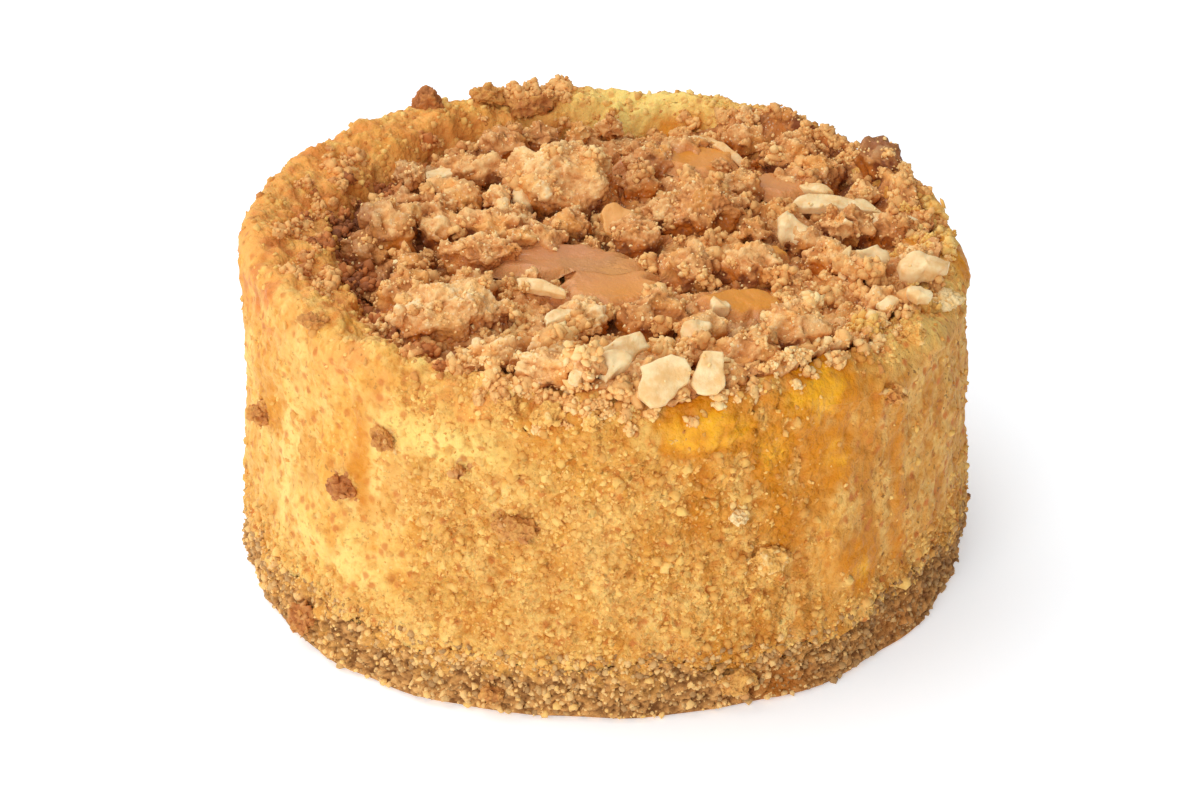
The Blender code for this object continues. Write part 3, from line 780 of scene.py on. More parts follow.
def biscuitFinish():
    look = Finish("biscuit_crumb")
    middle = look.grain(1.4 * mm, 4.0)
    fine = look.grain(0.4 * mm, 3.0, 0.02)
    # tone: painted shade between the grains from the relief, with the grains' own tint
    tone = look.painted("peak") * 0.75 + look.painted("tint") * 0.4 + middle * 0.5 - 0.33
    base = look.ramp(tone, (0.1, biscuit["dark"]), (0.95, biscuit["light"]), (0.48, biscuit["middle"]))
    base = look.blend(fine.step(0.6, 0.72) * 0.5, base, biscuit["light"])
    base = look.blend(look.painted("dust") * middle.step(0.35, 0.6), base, biscuit["dust"])
    syrup = look.painted("syrup")
    base = look.blend(syrup * 0.85, base, biscuit["syrup"])
    look.set(colour=base, roughness=0.85 - 0.4 * syrup, gloss=0.3)
    look.relief(fine + middle * 0.5, 0.3 * mm)
    return look


def makeBiscuit():
    bm = wrappedSheet(biscuit["rows"], biscuit["steps"], biscuitPlace)
    closeEnds(bm)
    piece = toPiece("biscuit_layer", bm, biscuitFinish())
    places = spots(piece)
    grains, tints = granules(places, 1.1 * mm, 3.7)
    fineGrains, fineTints = granules(places, 0.6 * mm, 6.1)
    side = slope(places[:, 2] / mm, 0.1, 1.0)
    height = 0.5 * (grains - 0.7) + 0.24 * (fineGrains - 0.6) + 0.3 * (tints - 0.5)
    height = height + 0.3 * waves(places, 2.2 * mm, 5.5)
    push(piece, np.clip(height, -0.7, 0.35) * side * mm)
    degrees, heights = around(places)
    # painted shade: the right side of the layer is painted darker, with less dust
    right = sector(degrees, *biscuit["darkSide"])
    ragged = slope(waves(places, 3.2 * mm, 25.0) + 0.5 * waves(places, 1.2 * mm, 29.0), -0.35, 0.35)
    lower = 2.2 * bell(degrees, *biscuit["lowDust"])
    paint(piece, dust=slope(heights + lower, 1.5, 6.5) * ragged * (1.0 - 0.75 * right))
    syrup = smudge(degrees, heights, *biscuit["drip"])
    syrup = syrup + 0.5 * smudge(degrees, heights, *biscuit["secondDrip"])
    tint = 0.6 * tints + 0.4 * fineTints - 0.8 * right
    paint(piece, syrup=syrup, peak=0.7 * grains + 0.3 * fineGrains, tint=tint)
    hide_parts("biscuit_base")
    return piece


biscuitLayer = makeBiscuit()
print("biscuit:", len(biscuitLayer.data.polygons), "faces")


# Caramel's pools come first, because the crumble round them is wet

caramel = {
    "mauveReflection": colour(208, 138, 86),
    "orange": colour(228, 152, 74),
    "amber": colour(224, 144, 34),
    "segments": 72,
    "cuts": 11,
    "ragged": ((0.4, 1.6), (0.2, 4.0), (0.14, 9.0)),  # how much and how fast the outline wanders
    "edgeDrop": 1.3 * mm,
    "dropFrom": 0.66,
    "thinFrom": 0.55,
    "pools": (  # millimetres: place across and back, half width, half depth, level, colour share
        (-4.0, -6.4, 10.2, 3.8, 0.75, 0.0),
        (0.4, -12.0, 6.4, 5.2, 0.72, 0.0),
        (14.7, -15.2, 4.8, 3.0, 0.85, 1.0),
        (11.0, 20.5, 4.8, 3.4, 1.0, 0.7),
        (19.4, 14.0, 4.4, 3.0, 1.0, 0.2),
        (5.4, 20.0, 4.2, 2.4, 0.3, 0.1),
        (17.8, -3.6, 2.0, 1.4, 0.9, 1.0),
        (34.6, 0.0, 2.6, 2.0, 0.6, 0.9),
    ),
}


def poolShare(x, y, pool):  # 0 in the middle of a pool, 1 at its edge
    return np.hypot((x / mm - pool[0]) / pool[2], (y / mm - pool[1]) / pool[3])


# The crumble: a bed that fills the dip, baked lumps on it, then loose grains

crumble = {
    "steps": 540,
    "rows": 158,
    "underRows": 8,
    # the ramp's darkest colour: painted shade in the crevices, and the darkest bake
    "creviceShade": colour(134, 70, 28),
    "brown": colour(222, 152, 86),
    "sandy": colour(255, 208, 140),
    "bright": colour(255, 238, 192),
    "warm": colour(246, 174, 84),
    "amber": colour(212, 122, 34),
    "syrup": colour(134, 66, 24),
    "drizzle": colour(214, 136, 70),
    "sugar": colour(255, 236, 204),
    "lumps": (  # in millimetres: place across and back, width, depth and rise, as the solids have them
        (-4.8, 11.5, 12.5, 10.5, 5.2),
        (-23.0, -1.0, 6.8, 6.4, 3.6),
        (-15.5, -20.8, 10.4, 7.4, 3.9),
        (-20.3, -15.6, 6.6, 5.8, 2.8),
        (-12.6, -6.4, 7.8, 4.6, 2.5),
        (-11.5, 0.0, 6.0, 5.0, 2.8),
        (-18.4, 3.6, 5.6, 5.0, 2.5),
        (11.4, 6.2, 8.4, 7.0, 3.8),
        (21.6, 22.6, 8.4, 6.4, 3.0),
        (31.2, 16.6, 5.0, 4.0, 2.4),
        (19.5, -22.0, 6.8, 6.0, 3.6),
        (9.2, -7.4, 6.6, 5.6, 3.0),
        (4.8, -18.6, 7.0, 5.4, 3.0),
        (14.2, -28.2, 7.0, 5.2, 2.8),
        (15.8, -7.0, 6.2, 5.2, 2.8),
        (26.6, 3.0, 5.6, 5.0, 2.8),
        (-5.6, -33.4, 6.8, 4.8, 2.4),
        (-10.6, -28.8, 5.6, 4.8, 2.6),
    ),
    "bare": ((-3.0, -8.6, 9.0, 4.0), (0.5, -13.6, 5.2, 3.4), (16.0, -15.4, 4.6, 2.6)),  # no lumps here
    "burntSpot": (31.9, 17.6, 3.4),  # millimetres: place across and back, half width
    "middleLumps": (52, 4.0 * mm, 6.2 * mm),  # how many tries, smallest and largest
    "crumbs": (38, 2.1 * mm, 3.3 * mm),
    "burnt": colour(136, 70, 30),
    "russet": colour(196, 122, 62),
    "golden": colour(248, 190, 98),
    "cream": colour(255, 226, 168),
    "rimCrumbs": (  # degrees round, then mm from the middle, width and rise, and paleness from 0 to 1
        (125.0, 35.4, 4.2, 3.6, 0.3),
        (105.0, 33.8, 6.6, 2.6, 0.42),
        (98.0, 37.0, 1.8, 1.6, 0.4),
        (113.0, 34.6, 3.6, 1.8, 0.5),
        (219.0, 37.6, 3.0, 1.4, 0.5),
        (186.0, 34.0, 2.6, 1.0, 0.4),
        (262.0, 38.6, 3.2, 1.8, 0.7),
        (268.5, 38.9, 2.4, 1.6, 0.75),
        (256.0, 38.7, 2.2, 1.4, 0.65),
        (327.0, 37.8, 2.8, 1.6, 0.7),
        (343.0, 37.6, 4.2, 1.6, 0.95),
    ),
    "sideCrumbs": (  # degrees round, then mm up, width and height of the crumb, and paleness
        (227.0, 21.0, 3.6, 2.8, 0.3),
        (205.0, 23.0, 2.2, 3.0, 0.45),
        (236.0, 28.8, 2.6, 2.4, 0.5),
        (257.0, 21.6, 5.0, 2.6, 0.5),
        (249.0, 27.4, 1.6, 1.4, 0.45),
        (290.0, 22.5, 1.8, 1.7, 1.0),
        (295.0, 16.6, 4.2, 3.2, 0.75),
        (318.0, 30.4, 2.6, 2.2, 0.55),
    ),
}


def crumbleFinish():
    look = Finish("baked_crumble")
    middle = look.grain(1.6 * mm, 4.0, 0.01)
    fine = look.grain(0.35 * mm, 3.0, 0.02)
    peak = look.painted("peak")
    deep = look.painted("deep")
    # tone: painted shade in crevices and deep places and painted light on peaks, from the relief, with
    # the crumbs' own tone
    tone = peak * 0.5 + middle * 0.5 + fine * 0.3 + look.painted("tone") * 0.4 - 0.34
    # upward faces painted lighter, partly sugar on their tops and partly painted light
    tone = tone + look.painted("up") * 0.14 - deep * 0.45
    ends = ((0.04, crumble["creviceShade"]), (0.98, crumble["bright"]))
    base = look.ramp(tone, *ends, (0.36, crumble["brown"]), (0.68, crumble["sandy"]))
    base = look.blend(look.grain(4.0 * mm, 3.0, 0.07).step(0.48, 0.64) * 0.5, base, crumble["warm"])
    seep = look.grain(3.0 * mm, 4.0, 0.09).step(0.46, 0.6) * (0.22 + deep)
    base = look.blend(seep * 0.9, base, crumble["amber"])
    wet = look.painted("wet")
    base = look.blend(wet * 0.8, base, crumble["syrup"])
    drizzle = look.painted("drizzle")
    base = look.blend(drizzle * 0.75, base, crumble["drizzle"])
    sugar = (1.0 - look.cells(0.5 * mm).step(0.16, 0.3)) * look.cells(1.1 * mm, 0.02).step(0.35, 0.6)
    base = look.blend(sugar * peak * (1.0 - wet) * 0.7, base, crumble["sugar"])
    shine = wet * 0.5 + drizzle * 0.6 + seep * 0.4
    look.set(colour=base, roughness=0.75 - 0.45 * shine, coat=shine * 0.4, coatRoughness=0.2, gloss=0.35)
    look.relief(fine * 0.7 + middle * 0.4, 0.3 * mm)
    return look


crumbleLook = crumbleFinish()


def lighter(places):  # the front, the right and the biggest lump are paler than the rest
    across, back = places[:, 0] / mm, places[:, 1] / mm
    biggest = np.exp(-((across + 4.8) / 8.0) ** 2 - ((back - 11.5) / 7.0) ** 2)
    right = slope(across, 12.0, 24.0) * slope(back, -8.0, 6.0)
    return 0.8 * slope(-back, 6.0, 24.0) + 0.35 * slope(across, 2.0, 24.0) + 0.6 * biggest - 0.4 * right


def crumbed(piece, big, small, deep, sink, tone):  # relief and paint of the bed and the lumps
    places = spots(piece)
    knobs, knobTints = granules(places, big, 1.4)
    grains, tints = granules(places, small, 4.4)
    soft = waves(places, 2.4 * mm, 8.8)
    craggy = waves(places, 1.2 * mm, 5.7)
    sand = waves(places, 0.4 * mm, 2.9)
    up = outward(piece)[:, 2]
    height = deep * (knobs - 0.66) + 0.26 * (grains - 0.6) + 0.5 * deep * (knobTints - 0.5)
    push(piece, (height + 0.25 * soft + 0.28 * craggy + 0.14 * sand - sink) * mm)
    # peak: 1 on peaks, 0 in crevices; the finishes paint shade in the crevices and light on the peaks
    # from it
    paint(piece, peak=0.45 * knobs + 0.3 * grains + 0.12 * soft + 0.2 * craggy + 0.2 * sand)
    paint(piece, tone=0.3 * knobTints + 0.3 * tints + tone + 0.4 * lighter(places))
    # up: upward faces, painted lighter in the finish, partly for sugar on their tops and partly as
    # painted light
    paint(piece, up=up)
    return places


def drizzled(places):  # 1 where caramel ran over the crumble
    wet = np.zeros(len(places))
    ragged = 0.35 * waves(places, 2.4 * mm, 51.0)
    for pool in caramel["pools"]:
        out = poolShare(places[:, 0], places[:, 1], pool)
        wet = np.maximum(wet, 1.0 - slope(out + ragged, 0.75, 1.5))
    return wet


def bedPlace(theta, row):  # out along the underside, then back to the middle over the top
    under = crumble["underRows"]
    edge = crumbleEdge(theta)
    if row < under:
        radius = edge * (0.005 + 0.985 * row / (under - 1.0))
    else:
        radius = edge * (1.0 - 0.995 * (row - under) / (crumble["rows"] - under - 1.0))
    x = radius * math.cos(theta)
    y = radius * math.sin(theta)
    if row < under:
        return Vector((x, y, custardTop(x, y) - 0.2 * mm))
    return Vector((x, y, coreTop(x, y)))


def crevices(places):  # 1 in the gap round the foot of a lump, where the bed sinks and painted shade goes, 0 away from it
    deepest = np.zeros(len(places))
    for x, y, width, depth, rise, seed in lumpPlan:
        out = np.hypot((places[:, 0] - x) / width, (places[:, 1] - y) / depth) - 0.58
        gap = out * min(width, depth) / (0.8 * mm)
        deepest = np.maximum(deepest, np.exp(-gap ** 2) * min(rise / (2.6 * mm), 1.0))
    return deepest


def makeBed():
    bm = wrappedSheet(crumble["rows"], crumble["steps"], bedPlace)
    closeEnds(bm)
    piece = toPiece("crumble_bed", bm, crumbleLook)
    places = spots(piece)
    edges = np.array([crumbleEdge(math.atan2(y, x)) - math.hypot(x, y) for x, y, z in places.tolist()])
    gaps = crevices(places)
    places = crumbed(piece, 2.2 * mm, 0.7 * mm, 0.6, 1.4 * gaps * slope(edges, 1.5 * mm, 5.0 * mm), 0.1)
    low = slope(-waves(places, 6.0 * mm, 40.0), 0.0, 0.6) * 0.3
    # deep: painted shade in the gaps round the lumps' feet
    paint(piece, wet=trench(places) + low, deep=0.15 + 0.75 * gaps, drizzle=drizzled(places))
    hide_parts("crumble_topping")
    return piece


def lumpShape(cuts, size, seed, bumps):
    bm = bmesh.new()
    bmesh.ops.create_icosphere(bm, subdivisions=cuts, radius=1.0)
    for vert in bm.verts:
        vert.co *= 1.0 + bumps * noise.noise(vert.co * 1.9 + Vector((seed * 3.7, seed, -seed)))
    bmesh.ops.scale(bm, vec=size, verts=bm.verts[:])
    return bm


def move(bm, place):
    bmesh.ops.translate(bm, vec=place, verts=bm.verts[:])


def gather(whole, part):  # adds one small bmesh to a bigger one
    mesh = bpy.data.meshes.new("part")
    part.to_mesh(mesh)
    part.free()
    whole.from_mesh(mesh)
    bpy.data.meshes.remove(mesh)


def addLump(whole, x, y, width, depth, rise, seed):
    cuts = 6 if width > 7.5 * mm else 5 if width > 5.0 * mm else 4
    bm = lumpShape(cuts, Vector((width, depth, rise * 2.0)) * 0.55, seed, 0.32)
    bmesh.ops.rotate(bm, matrix=Matrix.Rotation(0.4 * math.sin(seed * 5.0), 3, "Z"), verts=bm.verts[:])
    move(bm, (x, y, coreTop(x, y)))
    count = len(bm.verts)
    gather(whole, bm)
    return count


def inside(x, y, rows, share=1.0):  # rows begin with a place across and back, a width and a depth in mm
    return any(math.hypot((x / mm - row[0]) / row[2], (y / mm - row[1]) / row[3]) < share for row in rows)


def spread(grade, picker):
    tries, smallest, largest = grade
    for number in range(tries):
        theta = math.radians(137.508) * number + picker.uniform(-0.3, 0.3)
        size = picker.uniform(smallest, largest)
        distance = math.sqrt((number + 0.5) / tries) * (crumbleEdge(theta) - 0.3 * size)
        x = distance * math.cos(theta)
        y = distance * math.sin(theta)
        if not inside(x, y, crumble["bare"]):
            yield x, y, size, number


def planLumps():  # across, back, width, depth, rise and seed: the big lumps, then the middle ones
    plan = [[value * mm for value in row] + [1.0 + number] for number, row in enumerate(crumble["lumps"])]
    picker = random.Random(11)
    for x, y, size, number in spread(crumble["middleLumps"], picker):
        if not inside(x, y, crumble["lumps"], 0.55):
            plan.append([x, y, size, size * 0.9, size * 0.42, 30.0 + number])
    return plan, picker


def heaped(piece, feet, picker, knob, deep):  # feet: for each lump its points, foot height and rise
    counts = [foot[0] for foot in feet]
    low = np.repeat([foot[1] for foot in feet], counts)
    rise = np.repeat([foot[2] for foot in feet], counts)
    tone = np.repeat([picker.uniform(-0.1, 0.5) for foot in feet], counts)
    above = (spots(piece)[:, 2] - low) / rise
    places = crumbed(piece, knob, 0.6 * mm, deep, 0.0, tone)
    x, y, wide = crumble["burntSpot"]
    burnt = np.exp(-(np.hypot(places[:, 0] / mm - x, places[:, 1] / mm - y) / wide) ** 4)
    paint(piece, wet=np.maximum(trench(places) * 0.7, burnt))
    # deep: painted shade low on each lump, towards its foot
    paint(piece, deep=0.85 * (1.0 - slope(above, 0.0, 0.6)))
    paint(piece, drizzle=drizzled(places) * (1.0 - slope(above, 0.45, 0.9)))


def makeLumps():
    shades = random.Random(23)
    made = []
    plans = {"crumble_lumps": lumpPlan[:bigLumps], "crumble_nuggets": lumpPlan[bigLumps:]}
    for name, plan in plans.items():
        whole = bmesh.new()
        feet = []
        for x, y, width, depth, rise, seed in plan:
            feet.append((addLump(whole, x, y, width, depth, rise, seed), coreTop(x, y), rise))
        bmesh.ops.recalc_face_normals(whole, faces=whole.faces[:])
        piece = toPiece(name, whole, crumbleLook)
        heaped(piece, feet, shades, 2.4 * mm, 0.45)
        made.append(piece)
    whole = bmesh.new()
    feet = []
    for x, y, size, number in spread(crumble["crumbs"], lumpPicker):
        if not inside(x, y, crumble["lumps"], 0.3):
            bm = lumpShape(4, Vector((size, size * 0.9, size * 0.9)) * 0.55, 90.0 + number, 0.4)
            move(bm, (x, y, coreTop(x, y) + 0.3 * size))
            feet.append((len(bm.verts), coreTop(x, y) - 0.1 * size, 0.7 * size))
            gather(whole, bm)
    bmesh.ops.recalc_face_normals(whole, faces=whole.faces[:])
    piece = toPiece("crumble_crumbs", whole, crumbleLook)
    heaped(piece, feet, shades, 1.3 * mm, 0.3)
    return made + [piece]


def stuckFinish():
    look = Finish("stuck_crumb")
    middle = look.grain(1.2 * mm, 4.0, 0.04)
    fine = look.grain(0.35 * mm, 3.0, 0.05)
    # tone: a little painted shade in the crevices from the relief, with the crumb's own tone
    tone = look.painted("tone") + middle * 0.5 + fine * 0.3 + look.painted("peak") * 0.25 - 0.5
    ends = ((0.0, crumble["burnt"]), (1.0, crumble["cream"]))
    base = look.ramp(tone, *ends, (0.35, crumble["russet"]), (0.75, crumble["golden"]))
    look.set(colour=base, roughness=0.6, gloss=0.3)
    look.relief(fine + middle * 0.5, 0.25 * mm)
    return look


def makeStuckCrumbs():  # the crumbs on the bare rim, in the side and in the bottom layer
    whole = bmesh.new()
    tones = []
    for number, (degrees, distance, width, rise, tone) in enumerate(crumble["rimCrumbs"]):
        distance, width, rise = distance * mm, width * mm, rise * mm
        ball = rise > 3.0 * mm
        x = distance * math.cos(math.radians(degrees))
        y = distance * math.sin(math.radians(degrees))
        size = Vector((width * 0.5, width * 0.42, rise * 0.6))
        bm = lumpShape(5, size, 40.0 + number, 0.12 if ball else 0.3)
        move(bm, (x, y, custardTop(x, y) + (-0.5 * mm if ball else rise * 0.15)))
        tones += [tone] * len(bm.verts)
        gather(whole, bm)
    caught = [(row, 60.0 + number, 0.0) for number, row in enumerate(crumble["sideCrumbs"])]
    caught += [(row, 20.0 + number, 0.1 * mm) for number, row in enumerate(biscuit["lumps"])]
    for (degrees, height, width, tall, tone), seed, sunk in caught:
        theta = math.radians(degrees)
        height, width, tall = height * mm, width * mm, tall * mm
        bm = lumpShape(5, Vector((1.3 * mm, width * 0.48, tall * 0.48)), seed, 0.3)
        bmesh.ops.rotate(bm, matrix=Matrix.Rotation(theta, 3, "Z"), verts=bm.verts[:])
        distance = skinRadius(theta, height) - sunk + 0.4 * mm
        move(bm, at(theta, distance, height))
        tones += [tone] * len(bm.verts)
        gather(whole, bm)
    bmesh.ops.recalc_face_normals(whole, faces=whole.faces[:])
    piece = toPiece("stuck_crumbs", whole, stuckFinish())
    crumbed(piece, 1.3 * mm, 0.6 * mm, 0.35, 0.0, 0.1)
    paint(piece, tone=np.array(tones))
    return piece


bigLumps = len(crumble["lumps"])
lumpPlan, lumpPicker = planLumps()
crumbleBed = makeBed()
crumbleHeap = makeLumps()
stuckCrumbs = makeStuckCrumbs()
crumblePieces = [crumbleBed, stuckCrumbs] + crumbleHeap
print("crumble:", [len(piece.data.polygons) for piece in crumblePieces], "faces")


# Chopped nuts: chunks, two flakes on the front edge, slivers

nuts = {
    "ivory": colour(240, 196, 130),
    "white": colour(252, 224, 170),
    "toasted": colour(230, 164, 86),
    "sides": 14,
    "profile": (  # bottom half: share of the outline, and how far in and up in thicknesses
        (0.04, 0.16, -0.5),
        (0.25, 0.16, -0.5),
        (0.5, 0.16, -0.5),
        (0.75, 0.16, -0.5),
        (1.0, 0.16, -0.5),
        (1.0, 0.047, -0.453),
        (1.0, 0.0, -0.34),
        (1.0, 0.0, -0.12),
    ),
    "pieces": (  # millimetres and degrees: place, length, width, thickness, turn, lean, toasting, bend
        (-16.7, 14.6, 6.0, 2.2, 1.2, 8.0, 12.0, 0.2, 0.2),
        (-8.8, 7.6, 3.8, 2.4, 2.2, -10.0, 20.0, 0.0, 0.0),
        (1.6, -29.2, 6.0, 3.6, 2.0, 25.0, 30.0, 0.15, 0.0),
        (0.8, -34.4, 3.5, 3.2, 2.0, 60.0, 35.0, 0.2, 0.0),
        (5.6, -36.2, 5.4, 4.8, 1.2, -20.0, 42.0, 0.35, 0.0),
        (10.4, -35.0, 4.0, 3.8, 1.2, 70.0, 42.0, 0.35, 0.0),
        (9.4, -23.4, 2.8, 2.4, 2.2, 65.0, 40.0, 0.1, 0.0),
        (20.3, 1.0, 4.2, 3.4, 2.6, 70.0, 45.0, 0.3, 0.0),
        (25.9, 9.2, 8.2, 3.0, 1.4, -8.0, 12.0, 0.3, 0.1),
        (28.6, -5.2, 3.4, 3.0, 2.6, 60.0, 35.0, 0.25, 0.0),
        (31.8, 4.2, 4.8, 3.2, 1.6, -25.0, 20.0, 0.3, 0.0),
        (33.6, -9.0, 4.4, 3.2, 2.4, 20.0, 22.0, 0.4, 0.0),
        (1.4, 2.4, 5.0, 3.8, 1.4, 30.0, 25.0, 0.9, 0.3),
        (-6.2, -14.8, 5.0, 1.8, 1.1, -25.0, 18.0, 0.3, 0.1),
        (-4.6, -20.6, 3.2, 1.5, 1.1, 40.0, 15.0, 0.2, 0.1),
        (-4.4, -33.4, 2.4, 2.0, 1.8, 20.0, 30.0, 0.0, 0.0),
        (-2.6, -35.9, 2.0, 1.7, 1.6, 70.0, 30.0, 0.0, 0.0),
        (11.9, -17.6, 2.2, 1.8, 1.7, 30.0, 20.0, 0.0, 0.0),
        (29.4, -15.5, 2.4, 1.7, 1.4, 10.0, 20.0, 0.1, 0.0),
        (25.6, -7.2, 3.8, 1.4, 1.1, 80.0, 25.0, 0.15, 0.0),
        (32.6, -15.4, 2.2, 2.0, 1.6, 60.0, 25.0, 0.1, 0.0),
        (15.0, 21.6, 5.6, 1.2, 1.1, -52.0, 35.0, 0.5, 0.6),
        (10.8, 24.6, 4.2, 1.2, 1.1, 12.0, 30.0, 0.6, 0.4),
        (23.6, 12.4, 4.6, 1.1, 1.1, -14.0, 14.0, 0.35, 0.1),
    ),
}


def nutFinish():
    look = Finish("chopped_nut")
    middle = look.grain(1.5 * mm, 3.0)
    fine = look.grain(0.5 * mm, 3.0, 0.01, (1.0, 0.35, 1.0))
    base = look.blend(middle.step(0.35, 0.7), nuts["white"], nuts["ivory"])
    base = look.blend((look.painted("tint") * (0.5 + middle)).step(0.2, 0.95), base, nuts["toasted"])
    look.set(colour=base, roughness=0.5, inside=0.2, insideReach=(1.0, 0.7, 0.4), insideScale=1.0 * mm)
    look.relief(fine, 0.12 * mm)
    return look


def nutShape(length, width, thick, seed):  # a flat chip with uneven straight sides and rounded edges
    sides = nuts["sides"]
    bottom = nuts["profile"]
    profile = bottom + tuple((share, inward, -up) for share, inward, up in reversed(bottom))

    def cornerAt(number):
        angle = (2.0 * math.pi * (number + 0.5) / sides + math.pi) % (2.0 * math.pi) - math.pi
        corner = angle / (2.0 * math.pi / 7.0)
        out = 0.5 + 0.15 * math.sin(seed * 2.3 + corner * 2.1) * ease(min(corner % 7.0, 1.0))
        return Vector((length * math.cos(angle) * out, width * math.sin(angle) * out, 0.0))

    def nutPlace(theta, row):
        share, inward, up = profile[row]
        side = theta * sides / (2.0 * math.pi) - 1.0 / 3.0
        first = math.floor(side + 0.01)
        spot = cornerAt(first).lerp(cornerAt(first + 1), side - first)
        spot *= share * (1.0 - min(inward * thick / spot.length, 0.6))
        return Vector((spot.x, spot.y, up * thick))

    bm = wrappedSheet(len(profile), 3 * sides, nutPlace)
    closeEnds(bm)
    return bm


def makeNuts():
    whole = bmesh.new()
    layer = whole.verts.layers.float.new("tint")
    for number, (x, y, length, width, thick, turn, lean, toasting, bend) in enumerate(nuts["pieces"]):
        seed = 1.0 + number
        x, y, length, width, thick = x * mm, y * mm, length * mm, width * mm, thick * mm
        turn, lean = math.radians(turn), math.radians(lean)
        bm = nutShape(length, width, thick, seed)
        axes = {"use_axis_" + axis: True for axis in "xyz"}
        bmesh.ops.smooth_vert(bm, verts=bm.verts[:], factor=0.3, **axes)
        for vert in bm.verts:
            thinner = 1.0 - 0.4 * abs(vert.co.x) / (0.5 * length)
            vert.co.z *= max(thinner, 0.3)
            vert.co.y -= bend * width * (2.0 * vert.co.x / length) ** 2
            vert.co += 0.22 * thick * noise.noise_vector(vert.co * 650.0 + Vector((seed, seed, 0.0)))
        spin = Matrix.Rotation(lean, 3, "X") @ Matrix.Rotation(turn, 3, "Z")
        bmesh.ops.rotate(bm, matrix=spin, verts=bm.verts[:])
        move(bm, (x, y, coreTop(x, y) + 0.7 * mm + 0.2 * width * math.sin(lean)))
        before = len(whole.verts)
        gather(whole, bm)
        whole.verts.ensure_lookup_table()
        for vert in whole.verts[before:]:
            vert[layer] = toasting
    bmesh.ops.recalc_face_normals(whole, faces=whole.faces[:])
    piece = toPiece("chopped_nuts", whole, nutFinish())
    return piece


choppedNuts = makeNuts()
print("nuts:", len(choppedNuts.data.polygons), "faces")


# Caramel: smooth pools between the lumps

def caramelFinish():
    look = Finish("caramel")
    broad = look.grain(5.0 * mm, 2.0)
    tint = look.painted("tint") + (broad - 0.5) * 0.7
    # painted reflection: mauve on the low tint, running to orange and amber
    base = look.ramp(tint, (0.0, caramel["mauveReflection"]), (1.0, caramel["amber"]), (0.45, caramel["orange"]))
    fine = look.grain(0.7 * mm, 3.0, 0.03)
    thin = look.painted("thin")
    base = look.blend((fine * 0.7 + thin).step(0.4, 1.1) * 0.85, base, crumble["brown"])
    look.set(colour=base, roughness=0.3 + 0.35 * thin, coat=0.25, coatRoughness=0.15, gloss=0.35)
    look.set(inside=0.15, insideReach=(1.0, 0.5, 0.2), insideScale=1.2 * mm)
    look.relief(fine * (0.3 + thin), 0.4 * mm)
    return look


def makePools():
    whole = bmesh.new()
    layer = whole.verts.layers.float.new("tint")
    edges = []
    for number, (across, back, halfWidth, halfDepth, level, tint) in enumerate(caramel["pools"]):
        bm = bmesh.new()
        steps = caramel["segments"]
        bmesh.ops.create_circle(bm, cap_ends=True, cap_tris=True, segments=steps, radius=1.0)
        spokes = [edge for edge in bm.edges if not edge.is_boundary]
        bmesh.ops.subdivide_edges(bm, edges=spokes, cuts=caramel["cuts"])
        bmesh.ops.triangulate(bm, faces=bm.faces[:])
        for vert in bm.verts:
            away = vert.co.length
            angle = math.atan2(vert.co.y, vert.co.x)
            rim = at(angle, 1.0, number * 3.0)
            ragged = 1.0
            for share, scale in caramel["ragged"]:
                ragged += share * noise.noise(rim * scale)
            x = (across + vert.co.x * halfWidth * ragged) * mm
            y = (back + vert.co.y * halfDepth * ragged) * mm
            middle = topPlane(x) - cake["coreSink"] + level * mm
            if number < 2:  # these two run together: no edge where they meet
                away = min(away, poolShare(x, y, caramel["pools"][1 - number]))
            drop = caramel["edgeDrop"] * ease((away - caramel["dropFrom"]) / 0.34)
            edges.append(ease((away - caramel["thinFrom"]) / 0.4))
            wave = 0.3 * mm * rough(x, y, 0.0, 4.0 * mm, 2.0)
            wave += 0.1 * mm * rough(x, y, 0.0, 1.4 * mm, 6.0)
            vert.co = Vector((x, y, middle + wave - drop))
        before = len(whole.verts)
        gather(whole, bm)
        whole.verts.ensure_lookup_table()
        for vert in whole.verts[before:]:
            # the two big pools run from the painted mauve reflection on the left to orange on the right
            along = 0.05 + 0.5 * (vert.co.x / mm + 6.0 - 1.2 * (vert.co.y / mm + 8.0)) / 16.0
            vert[layer] = min(max(along, 0.0), 1.0) if number < 2 else tint
    piece = toPiece("caramel_pools", whole, caramelFinish())
    if outward(piece)[:, 2].mean() < 0.0:
        piece.data.flip_normals()
    paint(piece, thin=np.array(edges))
    return piece


caramelPools = makePools()
print("caramel:", len(caramelPools.data.polygons), "faces")


# Loose grains: on the heap, on the rim, on the side and round the bottom layer

